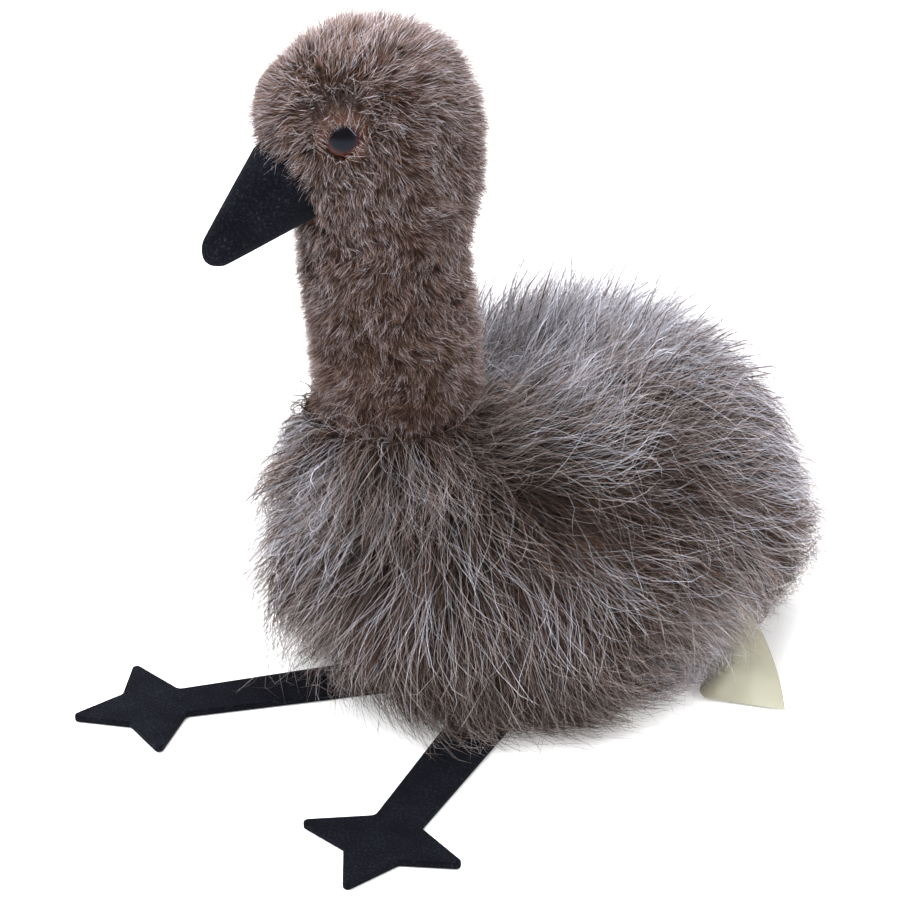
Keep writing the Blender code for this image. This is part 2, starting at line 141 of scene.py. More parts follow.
NOTCH_SIDE = 0.0078
TOE_TIP_RADIUS = 0.0013
ANKLE_ROUNDING = 0.002
HIP_ROUNDING = 0.001
LEG_LENGTH = 0.066
FEET = {
    "right": ((-0.0376, -0.1192), math.radians(-25.1)),
    "left": ((0.0555, -0.1100), math.radians(25.6)),
}
LABEL_WIDTH = 0.0225
LABEL_THICK = 0.00025
LABEL_APART = 0.00022
LABEL_CUP = 0.0006
LABEL_ROOT = (0.0485, 0.0178, 0.0195)
LABEL_END = (0.0677, 0.0103, 0.0007)
LABEL_ROOT_TURN = math.radians(75.0)
LABEL_END_TURN = math.radians(33.4)
LABEL_ROOT_LIFT = math.radians(90.0)
FRINGE_FIBRES = 760
FRINGE_LENGTH = (0.012, 0.024)
FRINGE_RADII = (0.000075, 0.000040)
LABEL_MIDDLE = (0.0650, 0.0120, 0.0080)
LABEL_REACH = 0.010

# Long pile: locks, the tufts drawn into them, and layers of fibres drawn into the tufts. Each gives how it
# grows, with how proud the tips stand and their random turn and bend. A layer also gives its look, with the
# tuft's hold on a fibre and the radii at its root and tip, and its waves.
LOCKS = dict(count=300, rings=6, length=(0.026, 0.038), proud=(-0.009, 0.006), turn=0.50, bend=0.4)
TUFTS = dict(count=2400, rings=6, length=(0.024, 0.038), proud=(-0.006, 0.004), turn=0.55, bend=0.6)
LONG_LAYERS = {
    "body_underpile": (
        dict(count=5000, rings=4, length=(0.018, 0.026), proud=(-0.009, -0.003), turn=0.35, bend=0.3),
        dict(pieces=1, hold=(0.2, 0.8), radii=(0.00045, 0.00018), shade=(0.0, 0.40)),
        dict(sizes=(0.0002, 0.0012), counts=(0.3, 0.9)),
    ),
    "body_pile": (
        dict(count=10000, rings=3, length=(0.022, 0.034), proud=(-0.009, -0.001), turn=0.40, bend=0.6),
        dict(pieces=2, hold=(0.2, 0.9), radii=(0.00011, 0.00005), shade=(0.0, 0.66)),
        dict(sizes=(0.0002, 0.0018), counts=(0.3, 0.8)),
    ),
    "body_guard_hair": (
        dict(count=6200, rings=5, length=(0.028, 0.046), proud=(-0.004, 0.005), turn=0.55, bend=1.0),
        dict(pieces=3, hold=(0.0, 0.75), radii=(0.000062, 0.000038), shade=(0.34, 1.0)),
        dict(sizes=(0.0003, 0.0024), counts=(0.4, 1.4)),
    ),
    "body_wisps": (
        dict(count=4600, rings=5, length=(0.030, 0.050), proud=(0.000, 0.012), turn=0.65, bend=1.1),
        dict(pieces=1, hold=(0.0, 0.3), radii=(0.000066, 0.000042), shade=(0.50, 1.0)),
        dict(sizes=(0.0004, 0.0030), counts=(0.5, 1.6)),
    ),
}
TUFT_HOLD = (0.45, 0.90)
TUFT_SPREAD = 0.3
FIBRE_SPREAD = 0.35
THICKNESS = (0.8, 1.2)
FLOOR_CLEAR = 0.0028

# Where the long pile is rooted
ROOTS_FROM_Z = 0.0032
UNDER_NECK_RADIUS = 0.0205
UNDER_NECK_Z = 0.070
WIDE_AREA = 0.0125
LEAST_FACING = 0.25
ROOT_DEPTH = 0.0008

# How the long pile lies: off the neck, down, and back over the flanks
LIE_OUT = 0.5
LIE_DOWN = 0.8
LIE_BACK = 0.85
LIE_BACK_SPAN = (0.35, 1.1)
LIE_BACK_Y = (-0.075, 0.05)
DRIFT_TURN = 0.30
DRIFT_PROUD = 0.0022
DRIFT_WAVES = (0.022, 0.060)
SWELL_WAVES = (0.016, 0.040)
EARLY_TURN = 0.35
NECK_CLEAR = 0.97
NECK_CLEAR_FROM_Z = 0.082

# The crest of the back, the seam round the neck's foot, the chest, the flanks and the lower edge, each by the
# place that it starts from and the distance over which it sets in
TOP_Z = (0.062, 0.024)
TOP_Y = (-0.050, 0.02)
SEAM_ARCH = 0.0045
SEAM_ARCH_REACH = 0.006
SEAM_ARCH_FROM_Z = 0.068
SEAM_REACH = 0.007
SEAM_Z = (0.066, 0.010)
CHEST_Y = (-0.060, -0.015)
SIDE_X = (0.035, 0.01)
LOW_Z = (0.022, -0.022)
LOW_LENGTH = 0.011
TUCK_REACH = 0.004

# How the pile stands out loosely there, and how its fibres are shaded, frosted and toned, with painted light
# and shade among them
TOP_FUZZ = 0.030
CHEST_FUZZ = 0.009
SIDE_FUZZ = 0.004
LOCK_TONE = 0.19
TUFT_TONE = 0.22
FIBRE_TONE = 0.16
# Painted light on the crest of the back: its fibres toned and frosted paler where the top light catches them.
CREST_PAINTED_LIGHT_TONE = 0.34
CREST_PAINTED_LIGHT_FROST = 0.47
SEAM_FROST = 0.15
SEAM_START = 0.3
LABEL_FROST = 0.7
LABEL_TONE = 0.6
# Painted shade in the parted hollows: fibres there toned darker and less frosted, and paler where the pile is
# raised, as painted light.
SHADE_OF_DEPTH = 80.0
PAINTED_SHADE_FROST_OF_DEPTH = 60.0
# Painted shade: fibres toned darker towards the bottom of the body, where less light falls.
LOW_SHADE = 0.60
LOW_SHADE_Z = (0.040, -0.040)

# Short plush: straight fibres, and longer bent ones that lie over them
PLUSH_TUFTS = 5200
PLUSH_LAYERS = {
    "plush": dict(
        pieces=3, count=25000, bent=False, height=(0.55, 1.02), lean=(0.2, 0.8), radius=7.6e-5, shade=(0, 0.9)
    ),
    "plush_wisps": dict(
        pieces=1, count=9000, bent=True, height=(0.75, 1.25), lean=(0.3, 1.3), radius=5.8e-5, shade=(0.4, 1.0)
    ),
}
PLUSH_STRAY = 0.0005
PLUSH_TUFT_STRAY = 0.0006
PLUSH_GATHER = 0.30
PLUSH_TONE = 0.15
PLUSH_ROOT_DEPTH = 0.0004
SWIRL = 0.9
SWIRL_WAVES = (0.007, 0.022)
# Painted shade in the crease at the neck's foot: the plush toned darker just above the seam.
SEAM_SHADE_Z = (0.098, -0.006)
SEAM_SHADE = 0.12
CROWN_FUZZ = 0.50
CROWN_FUZZ_OVER = 0.02
HEAD_TONE = 0.15
CROWN_LIE_Z = (0.172, 0.015)
BROW_LIE_Y = (0.020, 0.010)
BROW_LIE_Z = (0.155, 0.010)
EYE_GAP = 0.0002

# Plush that rises round the eyes: fibres, and how much of the radius is covered at a turn in degrees
LID_FIBRES = 1500
LID_COVER = (
    (0, 0.00), (25, 0.18), (55, 0.42), (115, 0.52), (153, 0.50), (180, 0.24),
    (200, 0.05), (250, 0.00), (280, 0.05), (316, 0.36), (340, 0.22), (360, 0.00),
)
LID_ROOTS = (1.05, 2.8)
LID_RADII = (0.00008, 0.00007, 0.00005)
LID_ASIDE = 0.0020
LID_PALE_SHARE = 0.22

# Colours: rows of a position from root to tip, or from dark to light, then red, green and blue
PILE_ROUGHNESS = 0.5
PILES = {
    "long_pile": dict(
        dull=((0.0, 0.005, 0.003, 0.002), (0.3, 0.012, 0.005, 0.003),
              (0.7, 0.045, 0.019, 0.009), (1.0, 0.100, 0.050, 0.026)),
        frosted=((0.0, 0.012, 0.009, 0.008), (0.25, 0.065, 0.052, 0.048),
                 (0.55, 0.355, 0.35, 0.375), (1.0, 0.72, 0.74, 0.82)),
        frost=(0.55, 0.68),
    ),
    # The short pile's ramps stay dark over their lower half and brighten near the tip: partly the fibre's
    # darker root, partly painted shade inside the dense plush.
    "short_pile": dict(
        dull=((0.0, 0.010, 0.005, 0.003), (0.45, 0.044, 0.020, 0.013),
              (0.72, 0.150, 0.077, 0.052), (1.0, 0.33, 0.215, 0.175)),
        frosted=((0.0, 0.020, 0.012, 0.009), (0.45, 0.110, 0.082, 0.075),
                 (0.72, 0.46, 0.42, 0.44), (1.0, 0.92, 0.92, 1.0)),
        frost=(0.46, 0.70),
    ),
}
TONES = (
    (0.0, 0.42, 0.35, 0.31), (0.3, 0.92, 0.70, 0.58), (0.55, 1.0, 0.98, 0.97),
    (0.8, 1.22, 1.24, 1.30), (1.0, 1.50, 1.54, 1.64),
)
STREAKS = ((0.32, 0.40, 0.36, 0.33), (0.50, 0.95, 0.94, 0.93), (0.68, 1.45, 1.45, 1.48))
STREAKS_ACROSS = 7.0
STREAKS_ALONG = 1.6
STREAKS_APART = 400.0
LONG_BACKING = ((0.35, 0.006, 0.003, 0.002), (0.7, 0.022, 0.012, 0.008))
SHORT_BACKING = ((0.35, 0.018, 0.009, 0.006), (0.7, 0.070, 0.038, 0.026))
FELT_GROUND = ((0.3, 0.0016, 0.0018, 0.0031), (0.7, 0.0044, 0.0049, 0.0078))
FELT_SPECKS = ((0.40, 0.45, 0.45, 0.45), (0.55, 1.2, 1.2, 1.2), (0.68, 7.0, 7.0, 6.6))
EYE_RINGS = (
    (0.0, 0.002, 0.002, 0.003), (0.56, 0.003, 0.002, 0.002), (0.68, 0.020, 0.006, 0.004),
    (0.90, 0.060, 0.019, 0.012), (1.0, 0.006, 0.003, 0.002),
)
RIBBON_CLOUD = ((0.3, 0.28, 0.27, 0.195), (0.7, 0.35, 0.34, 0.25))

# Light: each lamp's place, size and power
LIGHTS = {
    "key": ((0.10, -0.75, 0.95), 0.6, 18.0),
    "top": ((-0.30, 0.40, 1.00), 0.8, 20.0),
    "fill": ((0.95, 0.30, 0.55), 0.7, 6.0),
}
LIGHT_AIM = (0.0, 0.0, 0.07)
WORLD_STRENGTH = 0.50
FLOOR_REACH = 6.0
FLOOR_DROP = 0.0003
FLOOR_GLOW = 0.25

# Where the pile is combed: a place in millimetres, then the way that it lies there
COMBED = (
    (5, -20, 106, -6, 8, 1), (16, -5, 105, -5, 9, 1), (25, 12, 103, -5, 9, 1), (19, -32, 103, -3, 9, 2),
    (29, -17, 102, -4, 9, 2), (36, 1, 100, -3, 10, 1), (41, 23, 95, 6, 6, -5), (29, -41, 99, -1, 10, 2),
    (38, -25, 98, -2, 10, 2), (47, 4, 92, 1, 10, -1), (49, 29, 86, 1, 9, -5), (41, -40, 93, 1, 10, 2),
    (47, -22, 90, 0, 10, 1), (54, 10, 83, 2, 9, -4), (-9, -91, 81, -7, 0, -7), (6, -90, 87, -6, -2, -8),
    (21, -80, 89, -2, -10, -2), (33, -67, 89, 6, 2, -8), (42, -52, 88, 2, 9, 2), (50, -35, 86, 2, 10, 0),
    (55, -16, 82, 0, 10, 1), (59, 19, 72, 1, 8, -6), (17, -88, 80, -1, -3, -9), (31, -77, 82, 4, -2, -9),
    (56, -29, 76, 4, 7, -6), (60, -8, 71, 2, 8, -6), (61, 4, 67, 2, 7, -7), (60, 33, 58, -1, 8, -6),
    (-4, -95, 64, -5, -1, -9), (9, -93, 69, -5, -2, -8), (45, -66, 74, 6, 2, -8), (61, -21, 66, 2, 3, -9),
    (62, 17, 54, 0, 7, -7), (20, -91, 63, 0, -2, -10), (35, -81, 66, 3, -1, -10), (51, -60, 65, 4, 3, -9),
    (61, -33, 59, 2, 6, -8), (63, -10, 53, 1, 7, -7), (63, 3, 48, 0, 7, -7), (62, 33, 37, -1, 7, -7),
    (-11, -91, 40, -5, 1, -9), (29, -87, 55, 1, 0, -10), (43, -76, 57, 2, 1, -10), (56, -53, 55, 2, 2, -10),
    (63, -22, 46, 1, 6, -8), (63, 18, 32, 0, 7, -7), (-15, -88, 26, -6, 3, -8), (4, -91, 35, -3, 1, -10),
    (10, -92, 50, -3, 0, -10), (18, -90, 41, 0, 0, -10), (37, -82, 47, 0, 0, -10), (49, -69, 47, 1, 1, -10),
    (59, -43, 42, 1, 5, -9), (63, -9, 31, 0, 7, -8), (63, 5, 26, 0, 7, -7), (62, 20, 20, -1, 6, -8),
    (29, -87, 35, 1, 0, -10), (55, -63, 37, 1, 2, -10), (62, -33, 29, 0, 5, -9), (63, -21, 25, 0, 6, -8),
    (36, -82, 26, 2, 4, -9), (50, -70, 28, 0, 2, -10), (58, -53, 25, 0, 5, -9), (61, -18, 13, -2, 6, -8),
    (59, -3, 6, -2, 7, -6), (40, -74, 14, 1, 2, -9), (52, -60, 14, -1, 5, -9), (57, -40, 9, -1, 7, -7),
)
COMB_REACH = 0.009
COMB_HOLD = 2.5
COMB_MIRRORED_FROM = 30

# Where the pile is parted, in millimetres: a place, how far round it and how deep, below 0 where raised
# The fibres are also toned darker where the pile is parted deep, as painted shade, and paler where it is
# raised, as painted light.
PARTED = (
    (52, -46, 76, 7, 10), (58, -30, 69, 7, 10), (60, -8, 70, 6, 9), (53, 12, 84, 6, 6),
    (36, -50, 92, 7, 3), (-50, -20, 80, 9, 6), (-55, 20, 60, 9, 6), (50, -32, 86, 7, -6),
    (56, -14, 81, 7, -6), (61, 2, 69, 6, 7), (62.5, -16, 60, 6, 5), (40, -57, 88, 6, 5),
    (62, -27, 57, 6, 3), (26, -89, 52, 5, 3), (60, 38, 49, 14, -3), (-4, -94, 66, 12, -3),
    (15, -90, 75, 18, -1.5), (-10, -84, 92, 8, -4),
)
# Where the pile is kept short in the same way, or long where below 0, and keeps its colour
TUCKED = (
    (58, 36, 7, 9, 13), (-58, 36, 7, 9, 13), (52, 52, 7, 12, 12), (-52, 52, 7, 12, 12),
    (62, 10, 30, 6, -7), (60, 3, 4, 5, 8), (60, 38, 44, 15, -6), (-12, -88, 18, 13, -10),
    (-9, -84, 93, 9, 9), (-6, -95, 61, 9, -2), (-10, -92, 40, 9, 3), (-30, -78, 82, 12, 5),
    (10, -31, 105, 10, 5),
)


def unit(vectors):
    """The same vectors at length 1, row by row."""
    return vectors / np.maximum(np.linalg.norm(vectors, axis=-1, keepdims=True), 1e-12)


def fade(values, start, over):
    """The share of the way from a start, from 0 to 1, over a distance that is negative for a way down."""
    return np.clip((values - start) / over, 0, 1)


def smooth_rows(rows, between):
    """The rows with more between them, on a smooth curve through them all."""
    rows = np.array(rows, float)
    padded = np.vstack([2 * rows[0] - rows[1], rows, 2 * rows[-1] - rows[-2]])
    out = []
    for i in range(1, len(rows)):
        before, start, end, after = padded[i - 1 : i + 3]
        slope = end - before
        bend = 2 * before - 5 * start + 4 * end - after
        twist = 3 * start - before - 3 * end + after
        for t in np.arange(between) / between:
            out.append(0.5 * (2 * start + slope * t + bend * t**2 + twist * t**3))
    out.append(rows[-1])
    return np.array(out)


def topness(points):
    """How much a point is on the crest of the back, from 0 to 1."""
    return fade(points[:, 2], *TOP_Z) ** 1.6 * fade(points[:, 1], *TOP_Y)


def body_outline(points):
    """About how far each point lies outside the long pile's thick stretch, which ends short of its tips."""
    high = fade(points[:, 2], SHOULDER_LOW_Z, SHOULDER_HIGH_Z - SHOULDER_LOW_Z)
    behind = fade(points[:, 1], NECK_Y, -NECK_Y)
    thinner = (CHEST_THIN * (1 - behind) + RUMP_THIN * behind) * high + TOP_THIN * topness(points)
    return body_form(points, THICK_DEPTH + thinner, COLLAR_RADIUS, COLLAR_BASE_RADIUS, COLLAR_TOP)


def body_skin(points):
    """About how far each point lies outside the cloth that the long pile grows from."""
    radius = COLLAR_RADIUS - SEAM_DEPTH
    return body_form(points, COAT_DEPTH, radius, radius, COLLAR_TOP - SEAM_DEPTH)


def body_form(points, inset, collar_radius, base_radius, collar_top):
    """About how far each point lies outside an egg with a collar, drawn in from the tips by an inset."""
    x, y, z = points[:, 0], points[:, 1], points[:, 2] - WIDEST_Z
    fall = np.clip(-z / WIDEST_Z, 0, 1)
    rise = np.clip(z / (BACK_TOP - WIDEST_Z), RUMP_LEAN_FROM, 1)
    chest = CHEST_REACH * (1 - CHEST_UNDERCUT * fall**2)
    rump = RUMP_REACH * (1 - RUMP_LEAN * rise)
    long_reach = np.where(y < 0, chest, rump) - inset
    high_reach = np.where(z > 0, BACK_TOP - WIDEST_Z, UNDER_REACH) - inset
    power = np.where(z > 0, BODY_POWER_UP, BODY_POWER_DOWN)
    shares = ((x, FLANK_REACH - inset), (y, long_reach), (z, high_reach))
    level = sum(np.abs(way / reach) ** power for way, reach in shares) ** (1 / power)
    egg = (level - 1) * (FLANK_REACH - inset)
    climb = fade(points[:, 2], COLLAR_BASE_Z, COLLAR_TOP - COLLAR_BASE_Z)
    radius = base_radius + (collar_radius - base_radius) * climb
    collar = np.maximum(off_neck(points) - radius, points[:, 2] - collar_top)
    collar = np.maximum(collar, COLLAR_BASE_Z - points[:, 2])
    return -BLEND * np.log(np.exp(-egg / BLEND) + np.exp(-collar / BLEND))


def off_neck(points):
    """How far each point is from the neck's axis."""
    return np.hypot(points[:, 0], points[:, 1] - NECK_Y)


def slope_of(distance, points):
    """The outward direction of a form at each point, from small steps in its distance."""
    step = 2e-4
    rises = [distance(points + step * axis) - distance(points - step * axis) for axis in np.eye(3)]
    return unit(np.stack(rises, axis=1))


def meet(distance, directions):
    """Where rays from inside the body meet a form, by halving."""
    near, far = np.zeros(len(directions)), np.full(len(directions), 0.2)
    for _ in range(26):
        half = (near + far) / 2
        inside = distance(BODY_MIDDLE + half[:, None] * directions) < 0
        near, far = np.where(inside, half, near), np.where(inside, far, half)
    return BODY_MIDDLE + near[:, None] * directions


def at_head(forward, left, height):
    """Points given by their reach from the neck's axis in the head's own directions, and their height."""
    reach = np.multiply.outer(forward, HEAD_FORWARD) + np.multiply.outer(left, HEAD_LEFT) + NECK_FOOT
    reach[..., 2] += height
    return reach


def in_head(points):
    """Each point's forward and left reach from the neck's axis, and its height."""
    away = points - NECK_FOOT
    return away @ HEAD_FORWARD, away @ HEAD_LEFT, points[..., 2]


def oval(rows, run, at):
    """Height, middle, reach and half width of the neck's or head's oval at a place along its rows."""
    height, front, back, half = (np.interp(at, run, rows[:, i]) for i in range(4))
    return height, (front + back) / 2, (front - back) / 2, half


# Meshes and objects

def linked(name, data):
    """A new object in the scene."""
    made = bpy.data.objects.new(name, data)
    bpy.context.scene.collection.objects.link(made)
    return made


def aimed(name, data, place, aim):
    """A camera or a lamp at a place, turned to face another."""
    made = linked(name, data)
    made.location = place
    made.rotation_euler = (Vector(aim) - Vector(place)).to_track_quat("-Z", "Y").to_euler()
    return made


def new_object(name, points, faces, finish, smooth=True):
    """A mesh object from points and faces, with its normals facing out, that rides on the part."""
    mesh = bpy.data.meshes.new(name)
    mesh.from_pydata([tuple(map(float, p)) for p in points], [], [list(map(int, f)) for f in faces])
    form = bmesh.new()
    form.from_mesh(mesh)
    bmesh.ops.recalc_face_normals(form, faces=form.faces)
    form.to_mesh(mesh)
    form.free()
    if smooth:
        mesh.shade_smooth()
        mesh.set_sharp_from_angle(angle=math.radians(50))
    return placed(name, mesh, finish)


def placed(name, mesh, finish):
    """The mesh as an object with its material and slot, on the part's one body."""
    made = linked(name, mesh)
    mesh.materials.append(MATERIALS[finish])
    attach(made, "root")
    return made


def tube_faces(rings, sides):
    """The quads that join rings of as many sides, one after another."""
    faces = []
    for i in range(rings - 1):
        for k in range(sides):
            a, b = i * sides + k, i * sides + (k + 1) % sides
            faces.append([a, b, b + sides, a + sides])
    return faces


def closed_tube(rings, sides):
    """The faces of a tube of rings that is closed at both ends."""
    last = (rings - 1) * sides
    return tube_faces(rings, sides) + [list(range(sides)), list(range(last, last + sides))]


def carry(mesh, title, values):
    """A value that the mesh carries at each of its points."""
    mesh.attributes.new(title, "FLOAT", "POINT").data.foreach_set("value", np.array(values, np.float32))


def strand_object(name, paths, radii, ups, places, shade, tone, finish, starts=0.0):
    """Fibres as one mesh: three-sided tubes along their paths, each closed at the root and drawn to a tip.

    places holds each root's place on the unwrapped skin, where the fibre's patch of the map lies. A fibre's
    colour runs from its start, which is 0 where it keeps its dark root, to 1 at its tip.
    """
    count, stations = paths.shape[:2]
    rings = stations - 1
    last, each = 3 * (rings - 1), 3 * rings + 1
    ahead = unit(np.gradient(paths, axis=1))[:, :rings]
    side = unit(np.cross(ahead, ups[:, None, :]))
    ridge = np.cross(side, ahead)
    turns = np.radians((90.0, 330.0, 210.0))
    spokes = side[:, :, None] * np.cos(turns)[:, None] + ridge[:, :, None] * np.sin(turns)[:, None]
    tubes = paths[:, :rings, None] + radii[:, :, None, None] * spokes
    points = np.concatenate([tubes.reshape(count, rings * 3, 3), paths[:, -1:]], axis=1)
    faces = []
    for a, b, c, d in tube_faces(rings, 3):
        faces += [[a, b, c], [a, c, d]]
    faces += [[last + k, last + (k + 1) % 3, 3 * rings] for k in range(3)]
    faces.append([2, 1, 0])
    corners = (np.array(faces)[None] + (np.arange(count) * each)[:, None, None]).reshape(-1)
    mesh = bpy.data.meshes.new(name)
    mesh.vertices.add(count * each)
    mesh.vertices.foreach_set("co", points.reshape(-1).astype(np.float32))
    mesh.loops.add(len(corners))
    mesh.loops.foreach_set("vertex_index", corners.astype(np.int32))
    mesh.polygons.add(len(corners) // 3)
    mesh.polygons.foreach_set("loop_start", np.arange(0, len(corners), 3, dtype=np.int32))
    mesh.update(calc_edges=True)
    mesh.shade_smooth()
    share = np.append(np.repeat(np.arange(rings) / rings, 3), 1.0)
    across = np.append(np.tile((0.0, 0.5, 1.0), rings), 0.5)
    along = share + np.broadcast_to(starts, count)[:, None] * (1 - share)
    carry(mesh, "along", along.reshape(-1))
    carry(mesh, "shade", np.repeat(shade, each))
    carry(mesh, "tone", np.repeat(tone, each))
    carry(mesh, "across", np.tile(across, count))
    patch = PATCH * np.stack([across, share], axis=1)
    flat = (places[:, None] + patch[None]).reshape(-1, 2)[corners]
    mesh.uv_layers.new(name="OFBake").data.foreach_set("uv", flat.reshape(-1).astype(np.float32))
    return placed(name, mesh, finish)


# Materials

def feed(tree, value, socket):
    """Puts a number, a colour or another node's output on a socket."""
    if isinstance(value, bpy.types.NodeSocket):
        tree.links.new(value, socket)
    elif isinstance(value, tuple):
        socket.default_value = (*value, 1.0)
    else:
        socket.default_value = value


def node(tree, kind, inputs, **settings):
    """A new node with its settings and what goes into its sockets."""
    made = tree.nodes.new(f"ShaderNode{kind}")
    for title, value in settings.items():
        setattr(made, title, value)
    for title, value in inputs.items():
        feed(tree, value, made.inputs[title])
    return made


def shader_of(name, **values):
    """A new material's tree and Principled shader, with plain values on the shader's own sockets."""
    made = bpy.data.materials.new(name)
    made.use_nodes = True
    tree = made.node_tree
    shader = tree.nodes["Principled BSDF"]
    for title, value in values.items():
        feed(tree, value, shader.inputs[title.replace("_", " ")])
    return made, tree, shader


def attribute(tree, name):
    """What the mesh carries at its points under a name."""
    return node(tree, "Attribute", {}, attribute_name=name).outputs["Fac"]


def ramp(tree, fac, stops):
    """A colour ramp through rows of position, red, green and blue."""
    made = node(tree, "ValToRGB", {"Fac": fac})
    elements = made.color_ramp.elements
    while len(elements) < len(stops):
        elements.new(0.5)
    for element, (position, *colour) in zip(elements, stops):
        element.position = position
        element.color = (*colour, 1.0)
    return made.outputs["Color"]


def mixed(tree, fac, first, second, blend="MIX"):
    """Two colours mixed."""
    return node(tree, "Mix", {0: fac, 6: first, 7: second}, data_type="RGBA", blend_type=blend).outputs[2]


def mapped(tree, value, low, high, top=1.0):
    """A value's span from low to high, carried to that from 0 to a top."""
    inputs = {"Value": value, "From Min": low, "From Max": high, "To Max": top}
    return node(tree, "MapRange", inputs).outputs["Result"]


def noise(tree, scale, detail=4.0, roughness=0.55, place=None):
    """Noise over a place, or else over the object's own metres."""
    place = place or node(tree, "TexCoord", {}).outputs["Object"]
    inputs = {"Scale": scale, "Detail": detail, "Roughness": roughness, "Vector": place}
    return node(tree, "TexNoise", inputs).outputs["Fac"]


def bump(tree, shader, height, distance, strength=1.0):
    """Small relief on a surface."""
    made = node(tree, "Bump", {"Distance": distance, "Strength": strength, "Height": height})
    feed(tree, made.outputs["Normal"], shader.inputs["Normal"])


def pile_material(name, dull, frosted, frost):
    """A fibre's colour from root to tip, dull or frosted by its own draw, with the tuft's tone over it, which
    also carries painted light and shade.
    """
    made, tree, shader = shader_of(name, Roughness=PILE_ROUGHNESS, Specular_IOR_Level=0.35)
    along = attribute(tree, "along")
    frost = mapped(tree, attribute(tree, "shade"), *frost)
    colour = mixed(tree, frost, ramp(tree, along, dull), ramp(tree, along, frosted))
    colour = mixed(tree, 1.0, colour, ramp(tree, attribute(tree, "tone"), TONES), "MULTIPLY")
    colour = mixed(tree, 1.0, colour, streaks(tree, along), "MULTIPLY")
    feed(tree, colour, shader.inputs["Base Color"])
    return made


def streaks(tree, along):
    """Light and dark lines along a fibre, different on each."""
    spans = {
        "X": (attribute(tree, "across"), STREAKS_ACROSS),
        "Y": (along, STREAKS_ALONG),
        "Z": (attribute(tree, "shade"), STREAKS_APART),
    }
    inputs = {axis: mapped(tree, value, 0.0, 1.0, top) for axis, (value, top) in spans.items()}
    place = node(tree, "CombineXYZ", inputs).outputs["Vector"]
    return ramp(tree, noise(tree, 1.0, 2.0, 0.5, place), STREAKS)


def backing_material(name, mottle):
    """The knitted cloth under a pile: mottled and darker than the fibres."""
    made, tree, shader = shader_of(name, Roughness=1.0, Specular_IOR_Level=0.1)
    feed(tree, ramp(tree, noise(tree, scale=220.0), mottle), shader.inputs["Base Color"])
    bump(tree, shader, noise(tree, scale=900.0), distance=0.0008)
    return made


def felt_material():
    """Near-black felt with pale specks of fibre."""
    values = dict(Roughness=1.0, Specular_IOR_Level=0.06, Sheen_Weight=0.02, Sheen_Roughness=0.6)
    made, tree, shader = shader_of("felt", **values, Sheen_Tint=(0.55, 0.62, 0.85))
    ground = ramp(tree, noise(tree, scale=130.0, detail=3.0), FELT_GROUND)
    fibre = noise(tree, scale=1500.0, detail=5.0, roughness=0.75)
    colour = mixed(tree, 1.0, ground, ramp(tree, fibre, FELT_SPECKS), "MULTIPLY")
    feed(tree, colour, shader.inputs["Base Color"])
    bump(tree, shader, fibre, distance=0.0006)
    return made


def eye_material():
    """Glossy black with a dark red-brown ring near its edge."""
    values = dict(Roughness=0.22, Specular_IOR_Level=0.17, Specular_Tint=(0.62, 0.72, 1.0))
    made, tree, shader = shader_of("eye", **values)
    feed(tree, ramp(tree, attribute(tree, "spread"), EYE_RINGS), shader.inputs["Base Color"])
    return made


def ribbon_material():
    """Cream satin with a fine weave."""
    made, tree, shader = shader_of("ribbon", Roughness=0.42, Specular_IOR_Level=0.5, Sheen_Weight=0.2)
    cloud = ramp(tree, noise(tree, scale=60.0, detail=2.0), RIBBON_CLOUD)
    feed(tree, cloud, shader.inputs["Base Color"])
    inputs = {"Scale": 1600.0, "Vector": node(tree, "TexCoord", {}).outputs["Object"]}
    weave = node(tree, "TexWave", inputs, bands_direction="Z")
    bump(tree, shader, weave.outputs["Fac"], distance=0.00003, strength=0.4)
    return made


def floor_material():
    """The pale floor, which glows a little so that it stays near white."""
    white = dict(Base_Color=(0.92, 0.92, 0.92), Emission_Color=(1.0, 1.0, 1.0), Emission_Strength=FLOOR_GLOW)
    return shader_of("pale_floor", Roughness=1.0, Specular_IOR_Level=0.0, **white)[0]


MATERIALS = {
    **{name: pile_material(name, **look) for name, look in PILES.items()},
    "long_backing": backing_material("long_backing", LONG_BACKING),
    "short_backing": backing_material("short_backing", SHORT_BACKING),
    "felt": felt_material(),
    "eye": eye_material(),
    "ribbon": ribbon_material(),
    "floor": floor_material(),
}


# Skins

def make_body_cover():
    """The stuffed body under its pile, flat where it sits."""
    form = bmesh.new()
    bmesh.ops.create_icosphere(form, subdivisions=6, radius=1.0)
    directions = unit(np.array([v.co for v in form.verts]))
    for vert, point in zip(form.verts, meet(body_skin, directions)):
        vert.co = point
    everything = form.verts[:] + form.edges[:] + form.faces[:]
    bmesh.ops.bisect_plane(
        form, geom=everything, dist=1e-6, plane_co=(0, 0, BELLY_Z), plane_no=(0, 0, -1), clear_outer=True
    )
    bmesh.ops.holes_fill(form, edges=[e for e in form.edges if e.is_boundary])
    form.verts.index_update()
    points = [v.co.copy() for v in form.verts]
    faces = [[v.index for v in f.verts] for f in form.faces]
    form.free()
    made = new_object("body_cover", points, faces, "long_pile")
    made.data.materials[0] = MATERIALS["long_backing"]
    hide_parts("torso")


def skin_rows():
    """The head's and neck's rows drawn in by the plush's depth, close together."""
    rows = smooth_rows(HEAD_ROWS, SKIN_BETWEEN)
    crown = fade(rows[:, 0], CROWN_FROM_Z, HEAD_ROWS[-1][0] - CROWN_FROM_Z)
    depth = PLUSH_DEPTH * (1 - crown**2)
    rows[:, 0] -= PLUSH_DEPTH * crown
    rows[:, 1] = np.maximum(rows[:, 1] - depth, rows[:, 2] + 0.001)
    rows[:, 2] = np.minimum(rows[:, 2] + depth, rows[:, 1] - 0.0005)
    rows[:, 3] = np.maximum(rows[:, 3] - depth, 0.0006)
    return rows


